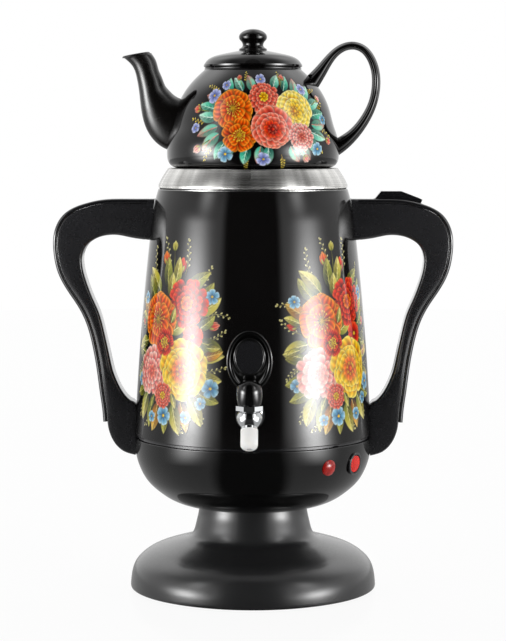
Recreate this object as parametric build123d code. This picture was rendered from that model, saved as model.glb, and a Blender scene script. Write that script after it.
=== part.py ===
from build123d import *
import os
from math import atan2, cos, hypot, radians, sin, sqrt

os.makedirs("parts", exist_ok=True)

# Electric tea maker: a water heater on a pedestal, with a ceramic teapot on its lid.
# Millimetres, +Z up, origin on the floor under the middle of the base.
# The tap is at the front, towards -Y, and the teapot's spout points to -X.

# Clearances
slip_gap = 0.3        # pieces that are put together by hand
skin_gap = 0.2        # pieces shaped to the curve of the shell or the bowl
pivot_gap = 0.05      # pins and shafts in their bores

# Share of its full pull that a heading has at the end of a smooth line
heading_pull = 0.5

# Foot ring and base cover
foot_inset = 7.4          # foot ring in from the pedestal's rim
foot_width = 10.0
foot_height = 3.0
cover_thickness = 2.5
cover_screw_inset = 6.0
cover_screws = 4
vent_holes = 8
vent_circle = 32.0
vent_radius = 3.0

# Pedestal
rim_radius = 101.4
rim_lift = 1.5
neck_radius = 44.3
pedestal_height = 69.5
pedestal_wall = 3.0
pedestal_top = 3.5
boss_radius = 5.0
# The bell's outline, as steps in from the rim and heights above the floor
bell_points = [(1.4, 14.0), (4.2, 21.4), (8.7, 26.5), (16.7, 32.0), (27.6, 36.0), (39.9, 39.5)]
# The neck's outline, as steps out from the neck and depths below its top
neck_points = [(6.7, 25.5), (2.6, 15.0), (0.8, 7.0)]

# Bowl
bowl_radius = 97.2
bowl_height = 57.1
bowl_wall = 3.0
bowl_floor = 3.0
bowl_flat_margin = 0.7    # flat underside of the bowl beyond the pedestal's neck
# The bowl's outline, as steps in from its side and heights above its underside
bowl_points = [(35.7, 3.0), (26.2, 7.3), (19.2, 12.2), (9.9, 21.0), (4.4, 30.5), (1.2, 40.0), (0.1, 49.0)]
bowl_headings = [(1, 0), (0, 1)]

# Seam ring between the bowl and the shell
seam_gap = 1.4
seam_depth = 1.2
seam_wall = 2.0
seam_skirt = 4.8
seam_ledge = 6.0
seam_ledge_height = 1.2
seam_collar = 5.0

# Shell
shell_overhang = 0.1      # foot of the shell beyond the bowl
shell_shoulder_radius = 80.6
shell_bulge = 2.0
shell_height = 200.7
shell_wall = 1.0
shell_hem = 2.4
shoulder_width = 4.1
shoulder_height = 6.7

# Tank
tank_top_gap = 8.6        # between the shell's shoulder and the tank's side
tank_foot_gap = 15.3      # between the shell's foot and the tank's side
tank_floor_lift = 14.0    # tank floor above the shell's foot
tank_wall = 1.0
tank_corner = 6.0
tank_rim_inset = 3.2      # edge of the tank's rim in from the shell's shoulder
tank_rim = 1.0

# Heater under the tank
heater_plate_radius = 60.0
heater_plate_thickness = 4.0
heater_ring_radius = 45.0
heater_rod_radius = 4.0
heater_gap = 0.1
heater_arc = 300.0
terminal_radius = 2.0
terminal_length = 5.5
thermostat_radius = 8.5
thermostat_height = 7.0
thermostat_offset = 24.0
shield_thickness = 1.2
shield_gap = 3.7
stud_offset = 8.0         # centres of the studs beyond the heater plate
stud_count = 3
stud_radius = 2.0
stud_reach = 5.0
sleeve_radius = 3.5
nut_width = 7.0
nut_height = 3.2
rod_radius = 3.0
rod_nut_width = 10.0
rod_nut_height = 5.0
rod_end = 2.5

# Lid of the tank, which carries the teapot
seal_thickness = 2.3
seal_width = 5.0
seal_inset = 1.0          # seal in from the collar's foot
collar_inset = 3.3        # foot of the collar in from the shell's shoulder
collar_taper = 7.4
collar_height = 14.8
collar_bulge = 0.5
collar_wall = 1.0
collar_skirt_gap = 0.8    # skirt inside the seal
collar_skirt = 10.0
collar_hole_radius = 49.0
collar_hole_rim = 6.8

# Teapot
pot_radius = 70.3
pot_height = 81.7
pot_wall = 4.5
pot_floor = 5.0
pot_base_step = 9.8       # flat underside in from the widest
pot_foot_width = 4.0
pot_foot_gap = 3.0        # foot inside the hole in the collar
pot_foot = 3.0
mouth_outer = 39.5
mouth_width = 6.5
mouth_lip = 2.0
# The teapot's outline, as steps in from its widest and heights above its underside
pot_points = [(3.4, 1.9), (0.8, 5.6), (0.0, 11.2), (1.3, 25.2), (4.3, 34.2), (7.8, 47.2),
              (12.3, 58.2), (18.3, 67.2), (25.3, 74.7)]
pot_headings = [(1, 0), (-0.75, 0.66)]
strainer_hole = 2.0
strainer_pitch = 6.5
strainer_height = 36.0

# Spout: centre as a step out from the teapot's widest and a height above its underside,
# then the tube's depth in the side view, its width, and its lean from upright
spout_stations = [(-22.0, 33.5, 44.0, 30.0, 70.0), (-1.4, 37.8, 42.0, 28.0, 70.0),
                  (6.8, 46.3, 37.3, 26.0, 60.0), (11.3, 57.4, 27.8, 23.0, 45.0),
                  (13.5, 68.3, 22.0, 20.5, 32.0), (15.6, 76.2, 19.4, 18.5, 24.0),
                  (18.2, 84.6, 19.5, 17.5, 15.0), (25.2, 92.7, 23.3, 17.5, 10.0)]
spout_wall = 3.0

# Handle of the teapot: centre as a step out from the teapot's widest and a height above its
# underside, then the strap's thickness in the side view and its width
pot_grip_stations = [(-26.0, 65.0, 15.0, 13.0), (-14.5, 79.5, 10.0, 12.5), (-6.3, 90.5, 7.4, 12.0),
                     (2.0, 97.2, 6.6, 11.5), (10.5, 99.3, 6.4, 11.5), (18.6, 97.0, 6.4, 11.5),
                     (25.3, 89.6, 6.6, 11.5), (29.2, 79.0, 6.8, 11.5), (30.0, 67.2, 7.0, 11.5),
                     (27.4, 53.0, 7.2, 11.5), (21.2, 39.8, 8.0, 12.0), (11.8, 27.6, 9.6, 12.5),
                     (0.5, 18.5, 12.5, 13.5), (-9.0, 13.0, 14.0, 14.0)]

# Lid of the teapot
lid_overhang = 0.7        # rim of the lid beyond the mouth
lid_rim_height = 2.5
lid_height = 13.5
lid_wall = 4.5
lid_flange_gap = 0.6      # flange inside the mouth
lid_flange_wall = 2.9
lid_flange_depth = 7.0
lid_vent_radius = 1.5
lid_vent_offset = 20.0
knob_foot_radius = 11.3
knob_neck_radius = 8.5
knob_ball_radius = 11.5
knob_ball_height = 13.2
knob_height = 17.6

# Handles of the heater
grip_width = 26.0
grip_edge = 2.4
grip_strip = 3.3
grip_top_drop = 7.0     # top of the handle below the shell's top
socket_top = 5.1        # socket joint, out from the shoulder, at the top of the handle
socket_foot = 7.6       # and at its underside
# Outlines of a handle: lower points as steps out from the bowl and heights above the seam,
# upper points as steps out from the shoulder and depths below the handle's top
grip_foot_curve = [(9.0, -13.3), (14.7, -8.4), (18.0, -3.5), (22.1, 6.4)]
grip_outer_low = [(25.4, 11.3), (28.7, 35.9), (32.0, 60.5), (38.5, 90.0), (45.1, 104.7)]
grip_outer_high = [(78.9, 60.4), (82.8, 36.0), (79.7, 21.0), (72.3, 11.2), (64.1, 6.3), (47.7, 1.4),
                   (36.3, 0.0)]
grip_inner_low = [(4.1, 29.6), (9.6, 35.9), (15.1, 46.7), (19.8, 62.5), (28.4, 100.2)]
grip_inner_high = [(56.0, 66.2), (58.8, 53.7), (58.4, 44.3), (52.9, 35.7), (43.4, 31.0),
                   (30.9, 29.4), (18.4, 31.7)]
grip_root = -4.0
grip_foot_depth = -17.3
grip_crotch_height = 28.7
grip_strip_start = 11.6
screw_radius = 2.0
screw_head_radius = 3.5
screw_head_height = 2.2
screw_length = 14.0
screw_seat = 0.5         # bearing face of a head inside the curved wall
upper_screw_drop = 25.0
lower_screw_rise = 18.0
bowl_screw_drop = 12.0

# Thumb lever on the right handle, measured out from the shoulder
lever_width = 14.0
lever_start = 18.7
lever_rise = 6.3
lever_length = 38.9
lever_flat_start = 5.3
lever_flat_end = 21.7
lever_pivot_out = 50.4
lever_pivot_drop = 8.0
lever_hub = 3.4
lever_pin_radius = 1.5
lever_pin_length = 19.0
lever_slot_floor = 12.5
lever_slot_height = 40.0  # of the cut, up through the handle's top

# Tap
tap_stand_out = 22.2      # centre of the tap beyond the shell's foot
tap_height = 28.5        # centre of the tap above the seam
tap_globe_radius = 10.0
shank_radius = 7.5
shank_bore = 3.5
arm_radius = 5.2
shank_inside = 9.0        # end of the shank inside the tank
tap_flange_radius = 11.5
tap_flange_thickness = 3.0
gasket_radius = 11.0
gasket_thickness = 2.4
tank_gasket_thickness = 3.0
tap_nut_width = 21.0
tap_nut_thickness = 5.0
spacer_radius = 10.0
neck_ring_radius = 7.8
bonnet_radius = 11.2
bonnet_lift = 5.6        # underside of the bonnet above the tap's centre
bonnet_height = 4.4
bonnet_roof = 2.0
plug_radius = 5.5
plug_drop = 5.6
plug_port = 2.8
stem_radius = 3.4
stem_square = 5.0
stem_length = 13.0
outlet_tilt = 28.0
outlet_radius = 5.2
outlet_bore = 3.0
outlet_reach = 13.0
nozzle_ring_radius = 6.3
nozzle_start = 9.8
nozzle_radius = 6.7
nozzle_end = 25.8
nozzle_hole = 2.4
nozzle_round = 4.2

# Key of the tap: a barrel with an oval paddle
key_lift = 0.2
key_radius = 10.0
key_height = 20.3
paddle_width = 35.6
paddle_height = 46.8
paddle_thickness = 5.0
paddle_back = 5.5        # back of the paddle behind the tap's axis
paddle_drop = 9.8        # foot of the paddle below the top of the barrel
paddle_rim = 3.2
paddle_recess = 2.0
paddle_edge = 1.2
badge_width = 24.8
badge_height = 30.0
badge_lift = 3.0
badge_rim = 2.15
badge_recess = 1.2
badge_gap = 0.1

# Switch and lamp on the bowl, as turns to the right from the front
control_depth = 16.1     # their centres below the bowl's rim
lamp_turn = 40.0
lamp_radius = 6.5
lamp_height = 2.6
lamp_edge = 0.4
lamp_stem = 4.4
lamp_body_gap = 0.9      # front of the lamp's body behind the wall
lamp_body_radius = 6.0
lamp_body_length = 12.0
switch_turn = 59.0
switch_rim = 0.55         # bezel beyond the barrel
switch_lip = 1.4
switch_seat = 0.5
switch_barrel_wall = 1.3
switch_depth = 17.0
rocker_radius = 6.7
rocker_gap = 0.7
rocker_recess_depth = 6.0
rocker_pivot = 2.2
rocker_lean = 10.0
rocker_ridge = 1.5
rocker_under = 3.5
rocker_axle = 1.2
rocker_axle_grip = 0.8    # end of the axle in the switch's wall

# Power inlet on the back of the bowl
pad_width = 36.0
pad_height = 29.0
pad_stand_out = 0.8
inlet_width = 27.4
inlet_height = 19.8
inlet_flange_width = 32.0
inlet_flange_height = 24.5
inlet_flange = 2.0
inlet_depth = 20.0
inlet_socket_width = 24.0
inlet_socket_height = 16.5
inlet_socket_depth = 17.0
inlet_bevel = 4.0
pin_width = 2.0
pin_height = 4.0
pin_length = 14.0
pin_spacing = 14.0
pin_rise = 3.0
tab_length = 8.0
tab_thickness = 0.8

# Radii and places worked out from the sizes above
foot_outer = rim_radius - foot_inset
foot_inner = foot_outer - foot_width
cover_screw_circle = foot_inner - cover_screw_inset
bowl_flat = neck_radius + bowl_flat_margin
shell_foot_radius = bowl_radius + shell_overhang
tank_top_radius = shell_shoulder_radius - tank_top_gap
tank_foot_radius = shell_foot_radius - tank_foot_gap
tank_rim_radius = shell_shoulder_radius - tank_rim_inset
shield_radius = bowl_radius - bowl_wall - shield_gap
stud_circle = heater_plate_radius + stud_offset
collar_foot_radius = shell_shoulder_radius - collar_inset
collar_top_radius = collar_foot_radius - collar_taper
seal_outer = collar_foot_radius - seal_inset
seal_inner = seal_outer - seal_width
collar_skirt_radius = seal_inner - collar_skirt_gap
pot_base_radius = pot_radius - pot_base_step
pot_foot_outer = collar_hole_radius - pot_foot_gap
pot_foot_inner = pot_foot_outer - pot_foot_width
mouth_inner = mouth_outer - mouth_width
lid_rim_radius = mouth_outer + lid_overhang
lid_flange_radius = mouth_inner - lid_flange_gap
tap_reach = shell_foot_radius + tap_stand_out
shank_end = tank_foot_radius - shank_inside
pad_reach = bowl_radius + pad_stand_out
rocker_recess_radius = rocker_radius + rocker_gap
rocker_axle_reach = rocker_recess_radius + rocker_axle_grip
switch_barrel = rocker_recess_radius + switch_barrel_wall
switch_radius = switch_barrel + switch_rim

# Levels
cover_floor = foot_height
cover_top = cover_floor + cover_thickness
bowl_bottom = pedestal_height
bowl_rim = bowl_bottom + bowl_height
seam_level = bowl_rim + seam_gap / 2
shell_foot = bowl_rim + seam_gap
shell_top = shell_foot + shell_height
shoulder_level = shell_top - shoulder_height
tank_bottom = shell_foot + tank_floor_lift
tank_top = shell_top + tank_rim
ledge_level = bowl_rim - seam_skirt + seam_ledge_height
shield_top = ledge_level + shield_thickness
plate_bottom = tank_bottom - heater_plate_thickness
collar_foot = tank_top + seal_thickness
pot_level = collar_foot + collar_height
mouth_level = pot_level + pot_height
grip_top = shell_top - grip_top_drop
tap_level = seam_level + tap_height
control_level = bowl_rim - control_depth
tap_centre = (0, -tap_reach, tap_level)


# Builds a solid of revolution from a closed line of (radius, height)
def turned(line):
    return revolve(Plane.XZ * make_face(line), Axis.Z)


def turned_section(points):
    return turned(Polyline(points, close=True))


def ring(inner, outer, low, high):
    return Pos(0, 0, low) * extrude(Circle(outer) - Circle(inner), high - low)


def disc(radius, low, high):
    return Pos(0, 0, low) * extrude(Circle(radius), high - low)


# Moves a smooth outline inwards by a wall, with level or upright cuts at its ends
def inset(points, wall):
    moved = []
    last = len(points) - 1
    for i, (r, z) in enumerate(points):
        before, after = points[max(i - 1, 0)], points[min(i + 1, last)]
        run, rise = after[0] - before[0], after[1] - before[1]
        length = hypot(run, rise)
        if 0 < i < last:
            moved.append((r - wall * rise / length, z + wall * run / length))
        elif abs(rise) > abs(run):
            moved.append((r - wall * length / abs(rise), z))
        else:
            moved.append((r, z + wall * length / abs(run)))
    return moved


# Smooth line through an outline, with the headings at its two ends where they are given
def smooth_line(points, headings=None):
    if headings:
        return Spline(points, tangents=headings, tangent_scalars=(heading_pull, heading_pull))
    return Spline(points)


def smooth_wall(points, wall, headings=None):
    inner = inset(points, wall)
    edges = [smooth_line(points, headings), Line(points[-1], inner[-1]), smooth_line(inner, headings),
             Line(inner[0], points[0])]
    return turned(edges)


# Builds the solid inside a smooth outline, closed to the axis at both ends
def smooth_core(points, headings=None):
    low, high = points[0], points[-1]
    edges = [smooth_line(points, headings), Line(high, (0, high[1])), Line((0, high[1]), (0, low[1]))]
    if low[0] > 0:
        edges.append(Line((0, low[1]), low))
    return turned(edges)


# Frame with its Z axis level, looking out along a turn from the front
def facing(turn, radius, height, droop=0.0):
    out = (sin(radians(turn)), -cos(radians(turn)))
    return Plane(origin=(radius * out[0], radius * out[1], height),
                 x_dir=(-out[1], out[0], 0),
                 z_dir=(out[0] * cos(droop), out[1] * cos(droop), -sin(droop)))


def hexagon(width, thickness):
    return extrude(RegularPolygon(width / 2, 6, major_radius=False), thickness)


def save(name, shapes):
    shapes = list(shapes) if isinstance(shapes, (list, tuple)) else [shapes]
    solids = [solid for shape in shapes for solid in shape.solids()]
    whole = solids[0] if len(solids) == 1 else Compound(children=solids)
    whole.label = name
    export_step(whole, f"parts/{name}.step")


def pedestal_outline():
    low = [(rim_radius, rim_lift)]
    low += [(rim_radius - step, height) for step, height in bell_points]
    high = [(neck_radius + step, pedestal_height - depth) for step, depth in neck_points]
    return low + high + [(neck_radius, pedestal_height)]


def bowl_outline(extra=0.0):
    low = [(bowl_flat, bowl_bottom - extra)]
    side = [(bowl_radius - step + extra, bowl_bottom + height) for step, height in bowl_points]
    return low + side + [(bowl_radius + extra, bowl_rim)]


def shell_line(offset=0.0):
    foot = (shell_foot_radius + offset, shell_foot)
    shoulder = (shell_shoulder_radius + offset, shoulder_level)
    middle = ((foot[0] + shoulder[0]) / 2 + shell_bulge, (foot[1] + shoulder[1]) / 2)
    return foot, middle, shoulder


def shell_radius(height):
    share = (height - shell_foot) / (shoulder_level - shell_foot)
    straight = shell_foot_radius + share * (shell_shoulder_radius - shell_foot_radius)
    return straight + 4 * shell_bulge * share * (1 - share)


def bowl_radius_and_droop(height):
    outline = bowl_outline()
    for (r0, z0), (r1, z1) in zip(outline, outline[1:]):
        if z0 <= height <= z1:
            share = (height - z0) / (z1 - z0)
            return r0 + share * (r1 - r0), atan2(r1 - r0, z1 - z0)
    return bowl_radius, 0.0


# Solid that fills the bowl and the shell up to a gap outside their skins
def heater_envelope(gap):
    bowl = smooth_core(bowl_outline(gap), bowl_headings)
    return shell_core(gap) + bowl + disc(bowl_radius + gap, bowl_rim, shell_foot)


def screw(radius, length, head_radius, head_height):
    head = disc(head_radius, -head_height, 0)
    cross = Box(head_radius * 1.2, head_radius * 0.3, head_height) + Box(
        head_radius * 0.3, head_radius * 1.2, head_height)
    return head + disc(radius, 0, length) - Pos(0, 0, -head_height) * cross


def foot_ring():
    return ring(foot_inner, foot_outer, 0, foot_height)


def base_cover():
    radius = rim_radius - pedestal_wall - 3 * slip_gap
    cover = disc(radius, cover_floor, cover_top)
    for place in PolarLocations(cover_screw_circle, cover_screws, start_angle=45):
        cover -= place * disc(screw_radius, cover_floor, cover_top)
    for place in PolarLocations(vent_circle, vent_holes):
        cover -= place * disc(vent_radius, cover_floor, cover_top)
    return cover


def base_cover_screws():
    one = Pos(0, 0, cover_floor) * screw(screw_radius - pivot_gap, screw_length, 3.2, screw_head_height)
    return [place * one for place in PolarLocations(cover_screw_circle, cover_screws, start_angle=45)]


def pedestal():
    outline = pedestal_outline()
    body = smooth_wall(outline, pedestal_wall)
    body += disc(neck_radius - pedestal_wall / 2, pedestal_height - pedestal_top, pedestal_height)
    core = smooth_core(outline)
    for place in PolarLocations(cover_screw_circle, cover_screws, start_angle=45):
        body += (place * disc(boss_radius, cover_top, pedestal_height)) & core
    for place in PolarLocations(cover_screw_circle, cover_screws, start_angle=45):
        body -= place * disc(screw_radius, cover_top, cover_floor + screw_length + 1)
    return body - disc(rod_radius + slip_gap, pedestal_height - pedestal_top, pedestal_height)


def bowl_controls():
    radius, droop = bowl_radius_and_droop(control_level)
    lamp = facing(lamp_turn, radius, control_level, droop)
    switch = facing(switch_turn, radius, control_level, droop)
    return lamp, switch


def bowl():
    outline = bowl_outline()
    body = smooth_wall(outline, bowl_wall, bowl_headings) + disc(bowl_flat, bowl_bottom, bowl_bottom + bowl_floor)
    cavity = smooth_core(inset(outline, bowl_wall), bowl_headings)
    pad_depth = 20.0
    pad = Pos(0, pad_reach - pad_depth / 2, control_level) * Box(pad_width, pad_depth, pad_height)
    pad = fillet(pad.edges().filter_by(Axis.Y), 3.0)
    body += pad - cavity - disc(bowl_radius, bowl_rim, bowl_rim + pad_height)
    body -= Pos(0, pad_reach - pad_depth / 2, control_level) * Box(
        inlet_width + slip_gap, pad_depth * 2, inlet_height + slip_gap)
    lamp, switch = bowl_controls()
    body -= lamp * disc(lamp_stem + pivot_gap, -2 * bowl_wall, bowl_wall)
    body -= lamp * disc(lamp_radius + slip_gap, -switch_seat, bowl_wall)
    body -= switch * disc(switch_barrel + pivot_gap, -2 * bowl_wall, bowl_wall)
    body -= switch * disc(switch_radius + slip_gap, -switch_seat, bowl_wall)
    body -= disc(rod_radius + slip_gap, bowl_bottom, bowl_bottom + bowl_floor)
    for turn in (-90, 90):
        hole = facing(turn, bowl_radius - 2 * bowl_wall, bowl_rim - bowl_screw_drop)
        body -= hole * disc(screw_radius, 0, 3 * bowl_wall)
    return body


def tie_rod():
    low = pedestal_height - pedestal_top - rod_nut_height - rod_end
    return disc(rod_radius - pivot_gap, low, shield_top + rod_nut_height + rod_end)


def tie_rod_nuts():
    nut = hexagon(rod_nut_width, rod_nut_height) - disc(rod_radius, 0, rod_nut_height)
    low = pedestal_height - pedestal_top - rod_nut_height
    return [Pos(0, 0, low) * nut, Pos(0, 0, shield_top) * nut]


def seam_ring():
    outer = bowl_radius - bowl_wall - slip_gap
    collar = shell_foot_radius - shell_hem - slip_gap
    foot = bowl_rim - seam_skirt
    ledge = outer - seam_wall - seam_ledge
    return turned_section([
        (ledge, foot), (outer, foot), (outer, bowl_rim), (bowl_radius - seam_depth, bowl_rim),
        (bowl_radius - seam_depth, shell_foot), (collar, shell_foot),
        (collar, shell_foot + seam_collar), (collar - seam_wall, shell_foot + seam_collar),
        (collar - seam_wall, bowl_rim), (outer - seam_wall, bowl_rim - seam_gap),
        (outer - seam_wall, foot + seam_ledge_height), (ledge, foot + seam_ledge_height)])


def heat_shield():
    body = disc(shield_radius, ledge_level, shield_top)
    body -= disc(rod_radius + slip_gap, ledge_level, shield_top)
    for place in PolarLocations(stud_circle, stud_count, start_angle=30):
        body -= place * disc(stud_radius + slip_gap, ledge_level, shield_top)
    return body


def body_shell():
    foot, middle, shoulder = shell_line()
    in_foot, in_middle, in_shoulder = shell_line(-shell_wall)
    hem_top = shell_foot + shell_wall
    edge = shell_shoulder_radius - shoulder_width
    reach, rise = shoulder_width * (1 - sqrt(0.5)), shoulder_height * sqrt(0.5)
    outer_turn = (shell_shoulder_radius - reach, shoulder_level + rise)
    inner_turn = (outer_turn[0] - shell_wall * sqrt(0.5), outer_turn[1] - shell_wall * sqrt(0.5))
    in_start = (in_foot[0] - 0.07, hem_top)
    hem = (shell_foot_radius - shell_hem, shell_foot)
    lip = (edge - shell_wall, shell_top)
    under_lip = (lip[0], shell_top - shell_wall)
    edges = [ThreePointArc(foot, middle, shoulder), ThreePointArc(shoulder, outer_turn, (edge, shell_top)),
             Line((edge, shell_top), lip), Line(lip, under_lip),
             ThreePointArc(under_lip, inner_turn, in_shoulder),
             ThreePointArc(in_shoulder, in_middle, in_start), Line(in_start, (hem[0], hem_top)),
             Line((hem[0], hem_top), hem), Line(hem, foot)]
    body = turned(edges)
    hole = facing(0, shell_radius(tap_level) - 2 * tank_wall, tap_level)
    body -= hole * disc(shank_radius + slip_gap, -3, 6)
    for turn in (-90, 90):
        for height in (grip_top - upper_screw_drop, seam_level + lower_screw_rise):
            side = facing(turn, shell_radius(height), height)
            body -= side * disc(screw_radius, -4, 4)
    return body


# Section of the tank, from the middle of the floor out and up to the rim
def tank_core(offset):
    low = tank_bottom - offset
    line = FilletPolyline([(0, low), (tank_foot_radius + offset, low), (tank_top_radius + offset, shell_top),
                           (tank_top_radius + offset, tank_top), (0, tank_top)],
                          radius=[0, tank_corner + offset, 0, 0, 0], close=True)
    return turned(line)


def inner_tank():
    body = tank_core(0) + ring(tank_top_radius - tank_wall, tank_rim_radius, shell_top, tank_top)
    body -= tank_core(-tank_wall)
    body -= disc(tank_top_radius - tank_wall, shell_top, tank_top)
    hole = facing(0, tank_foot_radius, tap_level)
    return body - hole * disc(shank_radius + slip_gap, -6, 6)


def heater_plate():
    return disc(heater_plate_radius, plate_bottom, tank_bottom)


def heater_ring():
    level = plate_bottom - heater_rod_radius - heater_gap
    start = (360 - heater_arc) / 2 - 90
    section = Plane.XZ * Pos(heater_ring_radius, level) * Circle(heater_rod_radius)
    body = Rot(0, 0, start) * revolve(section, Axis.Z, heater_arc)
    for turn in (start, start + heater_arc):
        along = turn + (4 if turn == start else -4)
        post = Pos(heater_ring_radius * cos(radians(along)), heater_ring_radius * sin(radians(along)), 0)
        body += post * disc(terminal_radius, level - terminal_length, level)
    return body


def thermostat():
    body = disc(thermostat_radius, plate_bottom - thermostat_height, plate_bottom)
    tab = Box(tab_thickness, 2 * pin_width, tab_length / 2)
    for x in (-thermostat_radius / 2, thermostat_radius / 2):
        body += Pos(x, 0, plate_bottom - thermostat_height) * tab
    return Pos(0, thermostat_offset, 0) * body


def tank_studs():
    return [place * disc(stud_radius, ledge_level - stud_reach, tank_bottom)
            for place in PolarLocations(stud_circle, stud_count, start_angle=30)]


def stud_sleeves():
    return [place * ring(stud_radius + pivot_gap, sleeve_radius, shield_top, tank_bottom)
            for place in PolarLocations(stud_circle, stud_count, start_angle=30)]


def stud_nuts():
    nut = hexagon(nut_width, nut_height) - disc(stud_radius + pivot_gap, 0, nut_height)
    return [place * Pos(0, 0, ledge_level - nut_height) * nut
            for place in PolarLocations(stud_circle, stud_count, start_angle=30)]


def lid_seal():
    return ring(seal_inner, seal_outer, tank_top, collar_foot)


def tank_lid():
    top = collar_foot + collar_height
    wall = collar_wall
    middle = ((collar_foot_radius + collar_top_radius) / 2 + collar_bulge, collar_foot + collar_height / 2)
    foot_in, top_in = collar_foot_radius - 1.1 * wall, collar_top_radius - 1.1 * wall
    skirt = collar_skirt_radius
    edges = [Line((collar_foot_radius, collar_foot), (collar_foot_radius, collar_foot + wall)),
             ThreePointArc((collar_foot_radius, collar_foot + wall), middle, (collar_top_radius, top - wall)),
             Line((collar_top_radius, top - wall), (collar_top_radius - wall, top)),
             Polyline((collar_top_radius - wall, top), (collar_hole_radius - wall, top),
                      (collar_hole_radius - wall, top - collar_hole_rim),
                      (collar_hole_radius, top - collar_hole_rim), (collar_hole_radius, top - wall),
                      (top_in - wall / 2, top - wall), (top_in, top - 1.5 * wall)),
             ThreePointArc((top_in, top - 1.5 * wall), (middle[0] - 1.1 * wall, middle[1]),
                           (foot_in, collar_foot + wall)),
             Polyline((foot_in, collar_foot + wall), (skirt - wall, collar_foot + wall),
                      (skirt - wall, collar_foot - collar_skirt), (skirt, collar_foot - collar_skirt),
                      (skirt, collar_foot), (collar_foot_radius, collar_foot))]
    return turned(edges)


def pot_outline(offset=0.0):
    points = [(pot_radius - step - offset, pot_level + height) for step, height in pot_points]
    return [(pot_base_radius, pot_level)] + points + [(mouth_outer, mouth_level - mouth_lip)]


def pot_core():
    return smooth_core(pot_outline(), pot_headings) + disc(mouth_outer, mouth_level - mouth_lip, mouth_level)


def teapot_body():
    outer = pot_outline()
    inner = [(pot_base_radius - pot_wall, pot_level + pot_floor)]
    inner += inset(outer, pot_wall)[3:-1]
    inner.append((mouth_inner, mouth_level - mouth_lip - pot_wall / 2))
    cavity = smooth_core(inner, pot_headings) + disc(mouth_inner, inner[-1][1], mouth_level)
    body = pot_core() - cavity + ring(pot_foot_inner, pot_foot_outer, pot_level - pot_foot, pot_level)
    for row in (-1, 0, 1):
        for place in (-1, 0, 1):
            hole = Plane(origin=(0, place * strainer_pitch, pot_level + strainer_height + row * strainer_pitch),
                         x_dir=(0, 1, 0), z_dir=(-1, 0, 0))
            body -= hole * disc(strainer_hole, pot_radius / 2, pot_radius + 2 * pot_wall)
    return body


# Oval across a tube that leans outwards from upright, on the side of the spout
def spout_section(out, height, depth, width, lean, wall=0.0):
    tilt = radians(lean)
    frame = Plane(origin=(-pot_radius - out, 0, pot_level + height),
                  x_dir=(cos(tilt), 0, sin(tilt)), z_dir=(-sin(tilt), 0, cos(tilt)))
    return frame * Ellipse(depth / 2 - wall, width / 2 - wall)


def teapot_spout():
    tube = loft([spout_section(*station) for station in spout_stations])
    bore = loft([spout_section(*station, wall=spout_wall) for station in spout_stations])
    return tube - bore - pot_core()


def teapot_handle():
    middles = [Vector(pot_radius + out, 0, pot_level + height) for out, height, _, _ in pot_grip_stations]
    sections = []
    for i, (_, _, thickness, width) in enumerate(pot_grip_stations):
        along = middles[min(i + 1, len(middles) - 1)] - middles[max(i - 1, 0)]
        frame = Plane(origin=middles[i], x_dir=(0, 1, 0), z_dir=along)
        sections.append(frame * Ellipse(width / 2, thickness / 2))
    return loft(sections) - pot_core()


def teapot_lid():
    rim = mouth_level + lid_rim_height
    crown = mouth_level + lid_height
    top = crown + knob_height
    ball = top - knob_ball_height / 2
    dome = [(lid_rim_radius, rim), (lid_rim_radius - 2.5, rim + 2.9), (lid_rim_radius - 13.5, crown - 3.1),
            (knob_foot_radius + 0.2, crown)]
    knob = [(knob_foot_radius, crown + 1.5), (knob_neck_radius, crown + 4.0)]
    for angle in (-36, -12, 12, 36, 60, 90):
        knob.append((knob_ball_radius * cos(radians(angle)),
                     ball + knob_ball_height / 2 * sin(radians(angle))))
    knob[-1] = (0, top)
    flange_in = lid_flange_radius - lid_flange_wall
    hollow = [(flange_in, rim - 1.0), (lid_rim_radius - 14.5, crown - 3.1 - lid_wall), (0, crown - lid_wall)]
    edges = [Line((lid_rim_radius, mouth_level), dome[0]), Spline(dome), Line(dome[-1], knob[0]),
             Line(knob[0], knob[1]), Spline(knob[1:], tangents=[(0, 1), (-1, 0)]),
             Line(knob[-1], hollow[-1]), Spline(hollow[::-1], tangents=[(1, 0), (0.5, -1)]),
             Polyline(hollow[0], (flange_in, mouth_level - lid_flange_depth),
                      (lid_flange_radius, mouth_level - lid_flange_depth),
                      (lid_flange_radius, mouth_level), (lid_rim_radius, mouth_level))]
    body = turned(edges)
    return body - Pos(lid_vent_offset, 0, 0) * disc(lid_vent_radius, mouth_level, crown + 2)


def low_points(points):
    return [(bowl_radius + out, seam_level + up) for out, up in points]


def high_points(points):
    return [(shell_shoulder_radius + out, grip_top - down) for out, down in points]


# Outer edge of a handle, from the step above its foot up and round to the top
def grip_outer_points():
    return low_points(grip_outer_low) + high_points(grip_outer_high)


# Side view of a whole handle, reaching into the shell and the bowl
def grip_face():
    outer = grip_outer_points()
    foot = low_points([(grip_root, grip_foot_depth)] + grip_foot_curve)
    inner = low_points(grip_inner_low) + high_points(grip_inner_high)
    root = bowl_radius + grip_root
    top_root = shell_shoulder_radius - shoulder_width - 2
    crotch = (root, seam_level + grip_crotch_height)
    under = (top_root, inner[-1][1] - 3)
    edges = [Spline(foot), Line(foot[-1], outer[0]), Spline(outer),
             Polyline(outer[-1], (top_root, grip_top), under, inner[-1]),
             Spline(inner[::-1]), Polyline(inner[0], crotch, foot[0])]
    return make_face(edges)


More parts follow.
